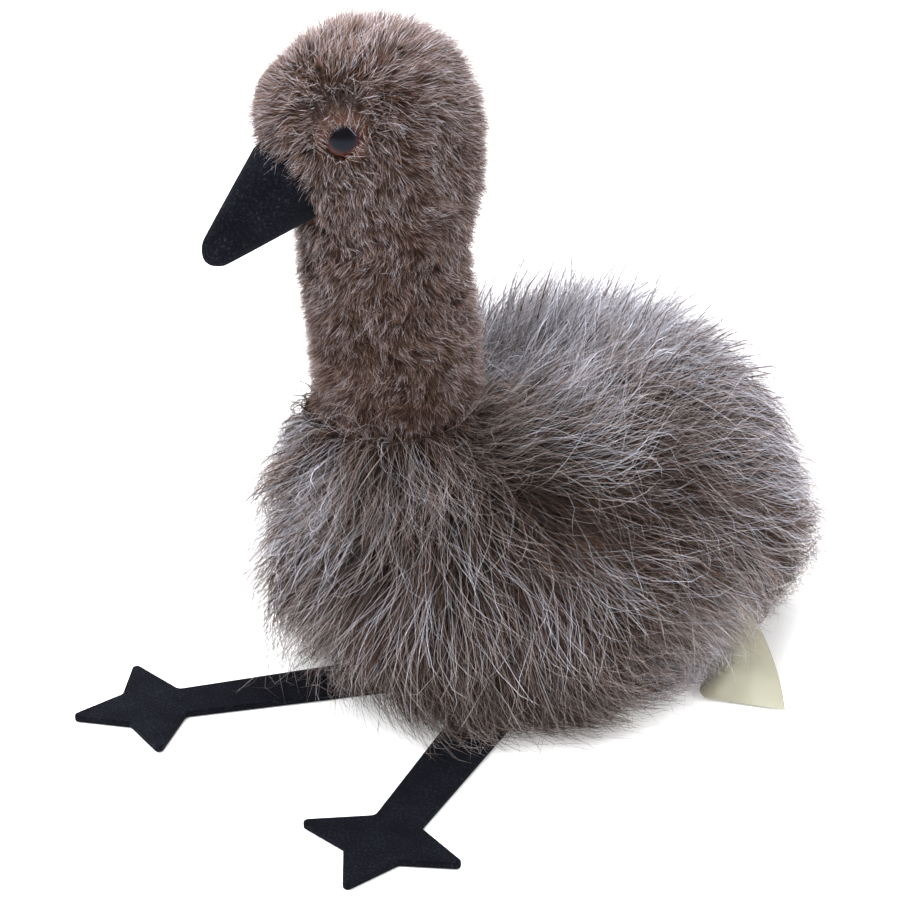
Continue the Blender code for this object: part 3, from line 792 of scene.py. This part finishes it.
SKIN_ROWS = skin_rows()


def make_head_cover():
    """Neck and head as one stuffed sleeve under the plush."""
    turns = 2 * math.pi * np.arange(SKIN_SIDES) / SKIN_SIDES
    points = []
    for height, front, back, half in SKIN_ROWS:
        middle, reach = (front + back) / 2, (front - back) / 2
        points += list(at_head(middle + reach * np.cos(turns), half * np.sin(turns), height))
    made = new_object("head_and_neck_cover", points, closed_tube(len(SKIN_ROWS), SKIN_SIDES), "short_pile")
    made.data.materials[0] = MATERIALS["short_backing"]
    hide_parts("neck", "head")


# Long pile

def spread_roots(draw, count):
    """Points spread evenly by area over the body's skin, above its lower edge and clear of the neck."""
    kept = np.zeros((0, 3))
    while len(kept) < count:
        directions = unit(draw.normal(size=(count, 3)))
        points = meet(body_skin, directions)
        facing = np.abs((slope_of(body_skin, points) * directions).sum(1))
        area = np.linalg.norm(points - BODY_MIDDLE, axis=1) ** 2 / np.maximum(facing, LEAST_FACING)
        under_neck = (off_neck(points) < UNDER_NECK_RADIUS) & (points[:, 2] > UNDER_NECK_Z)
        good = (points[:, 2] > ROOTS_FROM_Z) & ~under_neck & (draw.uniform(size=count) < area / WIDE_AREA)
        kept = np.vstack([kept, points[good]])
    return kept[:count]


def lie_of_coat(points, normals):
    """The way the long pile lies: off the neck, back over the flanks, down, and as it was combed."""
    away = points - NECK_FOOT
    away[:, 2] = 0
    behind = fade(points[:, 1], *LIE_BACK_Y)
    wish = LIE_OUT * unit(away) + np.array([0.0, 0.0, -LIE_DOWN])
    wish[:, 1] += behind * np.clip(LIE_BACK * (normals[:, 2] + 0.75), *LIE_BACK_SPAN)
    near = np.exp(-((points[:, None] - COMBED_PLACES) ** 2).sum(2) / (2 * COMB_REACH**2))
    wish += COMB_HOLD * near @ COMBED_WAYS
    return along_surface(wish, normals)


def along_surface(wish, normals):
    """Ways laid along a surface, at length 1."""
    return unit(wish - (wish * normals).sum(1, keepdims=True) * normals)


def combing():
    """Every combed place and its way, with those of the left flank mirrored on the right one."""
    table = np.array(COMBED, float).reshape(-1, 2, 3)
    mirrored = table[table[:, 0, 0] > COMB_MIRRORED_FROM] * (-1.0, 1.0, 1.0)
    table = np.concatenate([table, mirrored])
    return table[:, 0] / 1000, unit(table[:, 1])


COMBED_PLACES, COMBED_WAYS = combing()


def hollow_depth(points, places):
    """How deep the pile is parted or tucked at each point."""
    deep = np.zeros(len(points))
    for *place, reach, depth in np.array(places) / 1000:
        deep += depth * np.exp(-((points - place) ** 2).sum(1) / (2 * reach**2))
    return deep


def clear_of_neck(points):
    """Points moved out of the plush of the neck."""
    forward, side, height = in_head(points)
    rows = np.array(HEAD_ROWS)
    _, middle, reach, half = oval(rows, rows[:, 0], height)
    level = np.hypot((forward - middle) / reach, side / half)
    inside = (level < NECK_CLEAR) & (height > NECK_CLEAR_FROM_Z)
    grow = np.where(inside, NECK_CLEAR / np.maximum(level, 0.3), 1.0)
    return at_head(middle + (forward - middle) * grow, side * grow, height)


def drift_of(draw, wavelengths, count=9):
    """A smooth random field over the body, about from -1 to 1."""
    ways = unit(draw.normal(size=(count, 3))) * (2 * math.pi / draw.uniform(*wavelengths, size=(count, 1)))
    starts = draw.uniform(0, 2 * math.pi, size=count)
    return lambda points: np.sin(points @ ways.T + starts).sum(1) / math.sqrt(count)


def near_collar(points, reach):
    """How near a point is to the collar's side, from 1 at it down to 0."""
    return np.exp(-np.clip(off_neck(points) - COLLAR_RADIUS, 0, None) / reach)


def beside_seam(points):
    """How near a point is to the seam round the neck's foot, from 0 to 1."""
    return near_collar(points, SEAM_REACH) * fade(points[:, 2], *SEAM_Z)


def coat_paths(roots, lengths, prouds, turns, rises, rings, drift):
    """Points along each fibre, from its root in the skin out through the pile, turned aside ring by ring."""
    normals = slope_of(body_skin, roots)
    deep = -body_outline(roots) + ROOT_DEPTH
    arch = SEAM_ARCH * near_collar(roots, SEAM_ARCH_REACH) * (roots[:, 2] > SEAM_ARCH_FROM_Z)
    here, paths = roots.copy(), []
    for i in range(rings + 1):
        share = i / rings
        depth = deep * (1 - share) ** rises - arch * math.sin(math.pi * share)
        tuck = hollow_depth(here, TUCKED)
        loose = np.where(prouds > 0, prouds * np.exp(-np.maximum(tuck, 0) / TUCK_REACH), prouds)
        lift = (loose - tuck - hollow_depth(here, PARTED)) * share
        here = here + normals * (lift - depth - body_outline(here))[:, None]
        here[:, 2] = np.maximum(here[:, 2], FLOOR_CLEAR)
        if i > 0:
            here = clear_of_neck(here)
        paths.append(here.copy())
        normals = slope_of(body_outline, here)
        lies = lie_of_coat(here, normals)
        turned = (turns[:, i] + DRIFT_TURN * drift(here)) * (EARLY_TURN + (1 - EARLY_TURN) * share)
        heading = unit(lies + np.cross(normals, lies) * turned[:, None])
        here = here + heading * (lengths / rings)[:, None]
    return np.stack(paths, axis=1)


def nearest(points, centres):
    """Each point's nearest centre."""
    tree = KDTree(len(centres))
    for i, centre in enumerate(centres):
        tree.insert(Vector(centre), i)
    tree.balance()
    return np.array([tree.find(Vector(p))[1] for p in points])


def unwrap_body(points):
    """A place between 0 and 1 for each point, on an eight-sided unwrap of the body about its middle."""
    way = unit(points - BODY_MIDDLE)
    way = way / np.abs(way).sum(1, keepdims=True)
    flat = way[:, :2].copy()
    under = way[:, 2] < 0
    folded = (1 - np.abs(flat[:, ::-1])) * np.where(flat >= 0, 1.0, -1.0)
    flat[under] = folded[under]
    return 0.02 + 0.955 * (flat + 1) / 2


def guided(draw, paths, roots, centres, centre_paths, hold, spread):
    """Paths drawn towards that of the nearest centre, more and more towards their tips."""
    near = nearest(roots, centres)
    share = np.linspace(0, 1, paths.shape[1])[None, :, None]
    grip = hold[0] + (hold[1] - hold[0]) * draw.uniform(size=len(roots)) * (1 - 0.6 * topness(roots))
    grip = grip[:, None, None] * share**1.3
    meeting = centre_paths[near] + ((roots - centres[near]) * spread)[:, None]
    return paths + grip * (meeting - paths), near


def waves(draw, paths, sizes, counts):
    """Soft waves across each path, which grow towards its tip."""
    count, stations = paths.shape[:2]
    share = np.linspace(0, 1, stations)[None, :, None]
    first = unit(draw.normal(size=(count, 1, 3)))
    second = unit(draw.normal(size=(count, 1, 3)))
    turns = 2 * math.pi * draw.uniform(*counts, size=(count, 1, 1))
    start = draw.uniform(0, 2 * math.pi, size=(count, 2, 1, 1))
    size = draw.uniform(*sizes, size=(count, 1, 1)) * share**0.8
    swing, sway = (np.sin(turns * share + start[:, i]) - np.sin(start[:, i]) for i in (0, 1))
    return paths + size * (first * swing + second * sway)


def thickness(draw, count, radii):
    """Radii along each fibre, some thicker and some thinner than the given ones."""
    return draw.uniform(*THICKNESS, size=(count, 1)) * radii


def grow(draw, drifts, count, rings, length, proud, turn, bend):
    """Roots and paths of fibres that aren't yet drawn into tufts."""
    drift, swell = drifts
    roots = spread_roots(draw, count)
    top, seam = topness(roots), beside_seam(roots)
    side = fade(np.abs(roots[:, 0]), *SIDE_X)
    chest = fade(roots[:, 1], *CHEST_Y)
    low = fade(roots[:, 2], *LOW_Z)
    lengths = draw.uniform(*length, size=count) * (1 - 0.35 * top) * (1 - 0.5 * seam) * (1 - 0.45 * low)
    lengths = np.minimum(lengths, LOW_LENGTH + roots[:, 2])
    prouds = draw.uniform(*proud, size=count) + DRIFT_PROUD * swell(roots)
    prouds += (top * TOP_FUZZ + chest * CHEST_FUZZ + side * SIDE_FUZZ) * draw.uniform(size=count) ** 2
    wild = draw.uniform(0.3, 1.7, size=(count, 1)) * (1 - 0.45 * chest)[:, None]
    wild += (0.6 * seam + 1.1 * top)[:, None]
    curl = draw.normal(0, bend, size=(count, 1)) * np.linspace(-0.3, 0.7, rings + 1)
    stray = draw.normal(0, bend * 0.35, size=(count, rings + 1)).cumsum(axis=1)
    turns = wild * (draw.normal(0, turn, size=(count, 1)) + curl + stray)
    rises = draw.uniform(1.1, 2.0, size=count) + 0.8 * top
    return roots, coat_paths(roots, lengths, prouds, turns, rises, rings, drift)


def resampled(paths, rings):
    """The same paths with as many points as a layer has."""
    at = np.linspace(0, paths.shape[1] - 1, rings + 1)
    low = np.minimum(at.astype(int), paths.shape[1] - 2)
    share = (at - low)[None, :, None]
    return paths[:, low] * (1 - share) + paths[:, low + 1] * share


def make_long_pile():
    """Locks, their tufts, and every layer's fibres drawn into the tufts."""
    draw = np.random.default_rng(SEED)
    thinned = 1.0
    drifts = (drift_of(draw, DRIFT_WAVES), drift_of(draw, SWELL_WAVES))
    locks, lock_paths = grow(draw, drifts, **LOCKS)
    tufts, tuft_paths = grow(draw, drifts, **TUFTS)
    tuft_paths, lock = guided(draw, tuft_paths, tufts, locks, lock_paths, TUFT_HOLD, TUFT_SPREAD)
    tuft_tone = draw.normal(0.45, LOCK_TONE, size=len(locks))[lock]
    tuft_tone += draw.normal(0, TUFT_TONE, size=len(tufts))
    for name, (growth, look, wave) in LONG_LAYERS.items():
        growth = {**growth, "count": int(growth["count"] * thinned)}
        layer_tufts = resampled(tuft_paths, growth["rings"])
        for piece in range(look["pieces"]):
            roots, paths = grow(draw, drifts, **growth)
            paths, near = guided(draw, paths, roots, tufts, layer_tufts, look["hold"], FIBRE_SPREAD)
            paths = waves(draw, paths, **wave)
            paths[:, :, 2] = np.maximum(paths[:, :, 2], FLOOR_CLEAR)
            long_strands(draw, f"{name}_{piece + 1}", look, roots, paths, tuft_tone[near])


def long_strands(draw, name, look, roots, paths, tuft_tone):
    """One piece of the long pile, finer on the crest and at the seam, frosted and toned by where it lies,
    with painted light and shade.
    """
    count, rings = len(paths), paths.shape[1] - 1
    top, seam = topness(roots), beside_seam(roots)
    radii = thickness(draw, count, np.linspace(*look["radii"], rings)) * (1 - 0.4 * top - 0.5 * seam)[:, None]
    tips = paths[:, -1]
    over_label = np.exp(-((tips - LABEL_MIDDLE) ** 2).sum(1) / (2 * LABEL_REACH**2))
    # Painted shade: darker and less frosted where the pile is parted deep, paler where it is raised.
    hollow = 0.5 * hollow_depth(tips, PARTED) + 0.5 * hollow_depth(paths[:, rings // 2], PARTED)
    # Painted light: the crest's fibres frosted and toned paler.
    shade = draw.uniform(*look["shade"], size=count) + CREST_PAINTED_LIGHT_FROST * top + SEAM_FROST * seam
    shade = np.clip(shade - PAINTED_SHADE_FROST_OF_DEPTH * hollow + LABEL_FROST * over_label, 0, 1)
    # Painted shade towards the bottom of the body.
    low = fade(tips[:, 2], *LOW_SHADE_Z)
    shift = CREST_PAINTED_LIGHT_TONE * top - LOW_SHADE * low - SHADE_OF_DEPTH * hollow + LABEL_TONE * over_label
    tone = np.clip(tuft_tone + draw.normal(0, FIBRE_TONE, size=count) + shift, 0, 1)
    ups = slope_of(body_skin, roots)
    strand_object(name, paths, radii, ups, unwrap_body(roots), shade, tone, "long_pile", SEAM_START * seam)


# Short plush

def skin_run():
    """How far along the skin each of its rows is."""
    steps = sum(np.linalg.norm(np.diff(SKIN_ROWS[:, [0, i]], axis=0), axis=1) for i in (1, 3))
    return np.concatenate([[0], np.cumsum(steps / 2)])


SKIN_RUN = skin_run()


def on_skin(at, turns):
    """Points on the head's and neck's skin, by how far along and how far round it they are."""
    height, middle, reach, half = oval(SKIN_ROWS, SKIN_RUN, at)
    return at_head(middle + reach * np.cos(turns), half * np.sin(turns), height)


def spread_plush(draw, count):
    """Points spread evenly by area, with the skin's outward direction and place on its unwrap."""
    spots = [np.zeros((0, 2))]
    while sum(len(s) for s in spots) < count:
        at, turns = draw.uniform(0, SKIN_RUN[-1], size=count), draw.uniform(0, 2 * math.pi, size=count)
        _, _, reach, half = oval(SKIN_ROWS, SKIN_RUN, at)
        round_it = np.hypot(reach * np.sin(turns), half * np.cos(turns))
        good = draw.uniform(size=count) < round_it / WIDE_SKIN
        spots.append(np.stack([at, turns], 1)[good])
    at, turns = np.vstack(spots)[:count].T
    step = 1e-4
    along = on_skin(np.minimum(at + step, SKIN_RUN[-1]), turns) - on_skin(np.maximum(at - step, 0), turns)
    around = on_skin(at, turns + 0.01) - on_skin(at, turns - 0.01)
    places = MAP_START + np.stack([turns / (2 * math.pi), at / SKIN_RUN[-1]], 1) * MAP_SPAN
    return on_skin(at, turns), unit(np.cross(around, along)), places


def make_plush():
    """The neck's and head's plush, whose fibres gather into small tufts."""
    draw = np.random.default_rng(SEED + 1)
    thinned = 1.0
    tufts = spread_plush(draw, PLUSH_TUFTS)[0]
    tuft_lean = draw.normal(0, 1.0, size=(PLUSH_TUFTS, 3))
    tuft_tone = np.clip(draw.normal(0.5, 0.22, size=PLUSH_TUFTS), 0, 1)
    swirl = drift_of(draw, SWIRL_WAVES)
    for name, layer in PLUSH_LAYERS.items():
        for piece in range(layer["pieces"]):
            roots, normals, places = spread_plush(draw, int(layer["count"] * thinned))
            clear = keep_plush(roots)
            roots, normals, places = roots[clear], normals[clear], places[clear]
            near = nearest(roots, tufts)
            count = len(roots)
            lies, sure = lie_of_plush(roots, normals)
            turns = (SWIRL * swirl(roots) + draw.normal(0, 1.0, size=count) * (1.6 - 1.2 * sure))[:, None]
            lies = lies * np.cos(turns) + np.cross(normals, lies) * np.sin(turns)
            crown = fade(roots[:, 2:], CROWN_FROM_Z, CROWN_FUZZ_OVER)
            height = PLUSH_DEPTH * draw.uniform(*layer["height"], size=(count, 1)) * (1 + CROWN_FUZZ * crown)
            lean = PLUSH_DEPTH * draw.uniform(*layer["lean"], size=(count, 1)) * (0.5 + 0.5 * sure[:, None])
            rise, lean = normals * height, lies * (lean * (1 + crown))
            aside = PLUSH_STRAY * draw.normal(size=(count, 3)) + PLUSH_TUFT_STRAY * tuft_lean[near]
            aside += PLUSH_GATHER * draw.uniform(size=(count, 1)) * (tufts[near] - roots)
            tips = clear_of_eyes(roots + rise + lean + aside, roots)
            elbows = [roots + 0.66 * rise + 0.30 * lean + 0.45 * aside] if layer["bent"] else []
            paths = np.stack([roots - normals * PLUSH_ROOT_DEPTH, *elbows, tips], axis=1)
            radii = thickness(draw, count, np.array([[1.0, 0.8][: len(elbows) + 1]])) * layer["radius"]
            shade = draw.uniform(*layer["shade"], size=count)
            # Painted shade in the crease at the neck's foot, and the plush toned lighter up the head.
            crease = fade(roots[:, 2], *SEAM_SHADE_Z)
            shift = HEAD_TONE * np.clip((roots[:, 2] - THROAT_Z) / 0.03, -0.5, 1) - SEAM_SHADE * crease
            tone = np.clip(tuft_tone[near] + draw.normal(0, PLUSH_TONE, size=count) + shift, 0, 1)
            strand_object(f"{name}_{piece + 1}", paths, radii, lies, places, shade, tone, "short_pile")


def lie_of_plush(points, normals):
    """The way the plush lies, and how surely: down, but back over the crown and forward on the brow."""
    ahead, _, height = in_head(points)
    crown = fade(height, *CROWN_LIE_Z)[:, None]
    brow = (fade(ahead, *BROW_LIE_Y) * fade(height, *BROW_LIE_Z))[:, None]
    face = fade(height, THROAT_Z, 0.01)[:, None]
    back = HEAD_FORWARD * (0.45 * face + 0.5 * crown) * (1 - brow)
    wish = np.array([0.0, 0.0, -1.0]) * (1 - 0.6 * crown) - back + HEAD_FORWARD * brow * 0.7
    wish = wish - (wish * normals).sum(1, keepdims=True) * normals
    return unit(wish), np.clip(np.linalg.norm(wish, axis=1), 0, 1)


def eye_seat(side):
    """Where an eye sits on the head's side, and the way that it faces."""
    rows = smooth_rows(HEAD_ROWS, 2)
    _, middle, reach, half = oval(rows, rows[:, 0], EYE_Z)
    sign = 1 if side == "left" else -1
    sideways = sign * half * math.sqrt(1 - ((EYE_FORWARD - middle) / reach) ** 2)
    level = unit(HEAD_FORWARD * (EYE_FORWARD - middle) / reach**2 + HEAD_LEFT * sideways / half**2)
    facing = unit(level + np.array([0, 0, EYE_LIFT]))
    return at_head(EYE_FORWARD, sideways, EYE_Z) - facing * EYE_SUNK, facing


def eye_frame(side):
    """An eye's middle as set into the plush, the way that it faces, and its sideways and upward ways."""
    centre, facing = eye_seat(side)
    sideways = unit(np.cross(np.array([0, 0, 1.0]), facing))
    return centre - facing * EYE_SET_IN, facing, sideways, np.cross(facing, sideways)


def off_axis(points, side):
    """Each point's way off an eye's axis, as a vector, and how far out along it the point is."""
    centre, facing = eye_seat(side)
    away = points - centre
    out = away @ facing
    return away - out[..., None] * facing, out


def make_lids():
    """The plush that rises round each eye and falls over its rim from above."""
    draw = np.random.default_rng(SEED + 2)
    paths, ups = [], []
    for side in SIDES:
        centre, facing, sideways, above = eye_frame(side)
        across = sideways if side == "left" else -sideways
        for _ in range(LID_FIBRES):
            turn = draw.uniform(0, 2 * math.pi)
            out = across * math.cos(turn) + above * math.sin(turn)
            cover = np.interp(math.degrees(turn), *np.array(LID_COVER).T)
            if draw.uniform() > cover / 0.5 + 0.1:
                continue
            reach = EYE_RADIUS * (1.0 - cover + draw.uniform(-0.08, 0.30))
            aside = np.cross(facing, out) * draw.normal(0, LID_ASIDE)
            start = EYE_RADIUS * draw.uniform(*LID_ROOTS)
            root = centre + out * start - facing * PLUSH_DEPTH * 0.8
            elbow = centre + out * (0.45 * start + 0.55 * EYE_RADIUS)
            elbow = elbow + facing * draw.uniform(-0.0002, 0.0012) + 0.4 * aside
            level = math.sqrt(max(1 - (reach / EYE_RADIUS) ** 2, 0))
            rise = EYE_DOME * level + EYE_GAP + 0.0014 * draw.uniform() ** 3
            tip = centre + out * reach + facing * rise + aside
            paths.append([root, elbow, 0.5 * (elbow + tip) + facing * 0.0005, tip])
            ups.append(out)
    paths, ups = np.array(paths), np.array(ups)
    count = len(paths)
    radii = thickness(draw, count, np.array([LID_RADII]))
    pale = draw.uniform(size=count) < LID_PALE_SHARE
    shade = np.where(pale, draw.uniform(0.7, 1.0, size=count), draw.uniform(0.0, 0.5, size=count))
    # Lid fibres toned dark: partly the darker hair round the eye, partly painted shade over the hood, which
    # faces the lamps.
    tone = np.clip(np.where(pale, 0.50, 0.22) + draw.normal(0, 0.14, size=count), 0, 1)
    forward, left, height = in_head(paths[:, 0])
    turns = np.arctan2(left, forward) / (2 * math.pi) % 1.0
    places = MAP_START + MAP_SPAN * np.stack([turns, height / 0.2], axis=1)
    strand_object("eyelid_plush", paths, radii, ups, places, shade, tone, "short_pile")


def keep_plush(roots):
    """Which roots are clear of the eyes' and the beak's seats."""
    clear = np.ones(len(roots), bool)
    for side in SIDES:
        across, out = off_axis(roots, side)
        clear &= (np.linalg.norm(across, axis=1) > EYE_RADIUS + EYE_GAP) | (out < -0.012)
    forward, left, height = in_head(roots)
    share = (height - BEAK_LOW_ROOT[1]) / (BEAK_TOP_ROOT[1] - BEAK_LOW_ROOT[1])
    beside = np.abs(left) < BEAK_HALF_WIDTH * 0.95
    return clear & ~((share > 0.03) & (share < 0.93) & (forward > 0.010) & beside)


def clear_of_eyes(tips, roots):
    """Tips kept off the eyes, apart from the fringe that falls over their upper edge."""
    loose = np.random.default_rng(SEED + 4).uniform(size=len(tips))
    from_above = roots[:, 2] > EYE_Z + 0.0030
    limit = EYE_RADIUS * np.where(from_above, 0.45 + 0.4 * loose, 1.0)
    for side in SIDES:
        across, out = off_axis(tips, side)
        near = np.linalg.norm(across, axis=1)
        over = (near < limit) & (out > -0.010)
        push = (limit / np.maximum(near, 1e-6) - 1)[:, None] * across
        tips = np.where(over[:, None], tips + push, tips)
        across, out = off_axis(tips, side)
        level = np.clip(1 - (np.linalg.norm(across, axis=1) / EYE_RADIUS) ** 2, 0, 1)
        proud = EYE_DOME * np.sqrt(level) + EYE_GAP + 0.0016 * loose - EYE_SET_IN - out
        lift = np.where((level > 0) & (out > -0.006), np.maximum(proud, 0), 0)
        tips = tips + lift[:, None] * eye_seat(side)[1]
    return tips


# Beak, eyes, legs and label

def make_beak():
    """A wedge of felt, flat at its sides, with an edge above and below."""
    sides = 40
    top, low, tip = (np.array(p) for p in (BEAK_TOP_ROOT, BEAK_LOW_ROOT, BEAK_TIP))
    base = (top + low) / 2
    length = np.linalg.norm(tip - base)
    axis = (tip - base) / length
    across = np.array([axis[1], -axis[0]])
    across = across * np.sign(across @ (top - low))
    base_half = (top - low) @ across / 2
    rings = [(base - axis * BEAK_SUNK, base_half, BEAK_HALF_WIDTH + BEAK_EDGE)]
    straight = np.linspace(0, 1 - BEAK_TIP_RADIUS / length, 16)
    curved = 1 - BEAK_TIP_RADIUS / length * (1 - np.sin(np.linspace(0.15, 1.52, 9)))
    for share in np.concatenate([straight, curved]):
        past = max(BEAK_TIP_RADIUS - (1 - share) * length, 0.0) / BEAK_TIP_RADIUS
        rounding = math.sqrt(max(1 - past**2, 0))
        tall = base_half * (1 - share) + BEAK_TIP_RADIUS * share
        wide = BEAK_HALF_WIDTH * max(1 - share, 0) ** 0.8 + BEAK_EDGE
        rings.append((base + axis * share * length, tall * rounding, wide * rounding))
    points = []
    turns = 2 * math.pi * np.arange(sides) / sides
    for middle, tall, wide in rings:
        up = middle + np.multiply.outer(tall * np.cos(turns), across)
        out = np.copysign(np.abs(np.sin(turns)) ** 1.15, np.sin(turns)) * wide
        points += list(at_head(up[:, 0], out, up[:, 1]))
    made = new_object("beak_wedge", points, closed_tube(len(rings), sides), "felt")
    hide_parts("beak")


def make_eye(side):
    """A domed button with a dark red-brown ring round its black middle."""
    centre, facing, across, above = eye_frame(side)
    sides = 64
    profile = [(EYE_RADIUS * share, depth) for share, depth in EYE_BACK]
    for climb in np.linspace(0, math.pi / 2, 18)[:-1]:
        profile.append((EYE_RADIUS * 0.995 * math.cos(climb), EYE_DOME * math.sin(climb)))
    points, spread = [], []
    for ring, rise in profile:
        for k in range(sides):
            turn = 2 * math.pi * k / sides
            points.append(centre + facing * rise + (across * math.cos(turn) + above * math.sin(turn)) * ring)
            spread.append(ring / EYE_RADIUS)
    points.append(centre + facing * EYE_DOME)
    spread.append(0.0)
    last = (len(profile) - 1) * sides
    faces = tube_faces(len(profile), sides)
    faces += [[last + k, last + (k + 1) % sides, len(points) - 1] for k in range(sides)]
    faces.append(list(range(sides)))
    made = new_object(f"eye_button_{side}", points, faces, "eye")
    carry(made.data, "spread", spread)
    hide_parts(f"eye_{side}")


def rounded_outline(corners, steps=8):
    """A closed outline of (x, y, radius) corners, each rounded by its radius."""
    out = []
    for i, (x, y, radius) in enumerate(corners):
        here = np.array([x, y])
        before = unit(np.array(corners[i - 1][:2]) - here)
        after = unit(np.array(corners[(i + 1) % len(corners)][:2]) - here)
        half = math.acos(float(np.clip(before @ after, -1, 1))) / 2
        centre = here + unit(before + after) * radius / math.sin(half)
        start = here + before * radius / math.tan(half) - centre
        end = here + after * radius / math.tan(half) - centre
        first = math.atan2(start[1], start[0])
        turn = (math.atan2(end[1], end[0]) - first + math.pi) % (2 * math.pi) - math.pi
        for k in range(steps + 1):
            at = first + turn * k / steps
            out.append(centre + radius * np.array([math.cos(at), math.sin(at)]))
    return np.array(out)


def make_felt_leg(side):
    """Leg and star-shaped foot, cut in one piece from felt."""
    hip = -ANKLE_BACK - LEG_LENGTH
    half = [
        (hip, HIP_HALF_WIDTH, HIP_ROUNDING),
        (-ANKLE_BACK, ANKLE_HALF_WIDTH, ANKLE_ROUNDING),
        (0.0, SIDE_TOE, TOE_TIP_RADIUS),
        (NOTCH_FORWARD, NOTCH_SIDE, TOE_TIP_RADIUS),
    ]
    other = [(ahead, -beside, radius) for ahead, beside, radius in half]
    outline = rounded_outline(other + [(MID_TOE, 0.0, TOE_TIP_RADIUS)] + half[::-1])
    place, turn = FEET[side]
    ahead = np.array([math.sin(turn), -math.cos(turn)])
    beside = np.array([math.cos(turn), math.sin(turn)])
    plan = np.array(place) + outline[:, :1] * ahead + outline[:, 1:] * beside
    points = [(p[0], p[1], z) for z in (0.0, FELT) for p in plan]
    made = new_object(f"felt_leg_{side}", points, closed_tube(2, len(plan)), "felt", smooth=False)
    soft = made.modifiers.new("soft_edge", "BEVEL")
    soft.width = 0.0004
    soft.segments = 3
    soft.limit_method = "ANGLE"
    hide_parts(f"leg_{side}", f"foot_{side}")


def label_at(share):
    """The label's middle, its direction across and its outer face's direction, from its root to its fold."""
    root, end = np.array(LABEL_ROOT), np.array(LABEL_END)
    turn = LABEL_ROOT_TURN * (1 - share) + LABEL_END_TURN * share
    lift = LABEL_ROOT_LIFT * (1 - share)
    level = np.array([math.cos(turn), math.sin(turn), 0.0])
    across = level * math.cos(lift) + np.array([0, 0, math.sin(lift)])
    return root * (1 - share) + end * share, across, unit(np.cross(end - root, across))


def make_label_fringe():
    """Long pile that hangs over the label's upper and front edge."""
    draw = np.random.default_rng(SEED + 3)
    down = unit(np.array(LABEL_END) - np.array(LABEL_ROOT))
    steps = np.linspace(1, 0, 5)[:, None]
    paths, ups = [], []
    for k in range(FRINGE_FIBRES):
        side = draw.uniform(-1.5, 1.15)
        share = 0.36 - 0.24 * side + draw.normal(0, 0.09) - (0.0 if k % 4 else draw.uniform(-0.22, 0.10))
        middle, across, face = label_at(share)
        over = middle + across * side * LABEL_WIDTH / 2 + face * draw.uniform(0.0015, 0.0065)
        way = unit(down + across * draw.uniform(0.0, 0.8) + draw.normal(0, 0.2, size=3))
        way = unit(way - (way @ face) * face)
        bend = np.cross(face, way) * draw.normal(0, 0.0022)
        length = draw.uniform(*FRINGE_LENGTH)
        paths.append(over - way * length * steps + bend * 4 * steps * (1 - steps) - face * 0.002 * steps**2)
        ups.append(face)
    paths, ups = np.array(paths), np.array(ups)
    paths[:, :, 2] = np.maximum(paths[:, :, 2], FLOOR_CLEAR)
    count = len(paths)
    radii = thickness(draw, count, np.linspace(*FRINGE_RADII, 4))
    shade = draw.uniform(0.72, 1.0, size=count)
    tone = np.clip(draw.normal(0.60, 0.25, size=count), 0, 1)
    strand_object("label_fringe", paths, radii, ups, unwrap_body(paths[:, 0]), shade, tone, "long_pile", 0.5)


def make_label():
    """A satin ribbon folded double, from its seam in the flank down to its fold on the floor."""
    steps, wide = 24, 12
    shares = np.linspace(0, 1, steps + 1)
    spine, acrosses, throughs = zip(*(label_at(share) for share in shares))
    loop = [(i, 1) for i in range(steps + 1)] + [(i, -1) for i in range(steps, -1, -1)]
    rows = [(i, face * (LABEL_APART + LABEL_THICK)) for i, face in loop]
    rows += [(i, face * LABEL_APART * (i < steps)) for i, face in reversed(loop)]
    points, count = [], len(rows)
    for side in (2 * k / wide - 1 for k in range(wide + 1)):
        for i, reach in rows:
            cup = LABEL_CUP * math.sin(3.0 * side + 4.0 * shares[i])
            points.append(spine[i] + acrosses[i] * LABEL_WIDTH / 2 * side + throughs[i] * (reach + cup))
    points = np.array(points)
    points[:, 2] = np.maximum(points[:, 2], 0.0003)
    faces = tube_faces(wide + 1, count)
    for base in (0, wide * count):
        for j in range(count // 2 - 1):
            faces.append([base + j, base + j + 1, base + count - 2 - j, base + count - 1 - j])
    made = new_object("label_ribbon", points, faces, "ribbon")
    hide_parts("label")


# Floor, light and camera

def make_studio():
    """A pale floor under soft light."""
    mesh = bpy.data.meshes.new("floor")
    corners = ((-1, -1), (1, -1), (1, 1), (-1, 1))
    mesh.from_pydata([(x * FLOOR_REACH, y * FLOOR_REACH, 0) for x, y in corners], [], [[0, 1, 2, 3]])
    mesh.materials.append(MATERIALS["floor"])
    floor = linked("floor", mesh)
    floor.location.z = -FLOOR_DROP
    world = bpy.data.worlds.new("studio")
    bpy.context.scene.world = world
    world.use_nodes = True
    background = world.node_tree.nodes["Background"]
    background.inputs["Color"].default_value = (1.0, 1.0, 1.0, 1.0)
    background.inputs["Strength"].default_value = WORLD_STRENGTH
    for name, (place, size, power) in LIGHTS.items():
        light = bpy.data.lights.new(name, "AREA")
        light.energy = power
        light.size = size
        aimed(name, light, place, LIGHT_AIM)


def make_camera():
    """The photograph's own view."""
    lens = bpy.data.cameras.new("camera")
    lens.lens = CAMERA_LENS_MM
    lens.sensor_width = 36.0
    lens.clip_start = 0.01
    bpy.context.scene.camera = aimed("camera", lens, CAMERA_PLACE, CAMERA_AIM)
    bpy.context.scene.view_settings.view_transform = "Standard"


make_camera()
make_studio()
make_body_cover()
make_head_cover()
make_long_pile()
make_plush()
make_lids()
make_beak()
for side in SIDES:
    make_eye(side)
    make_felt_leg(side)
make_label()
make_label_fringe()
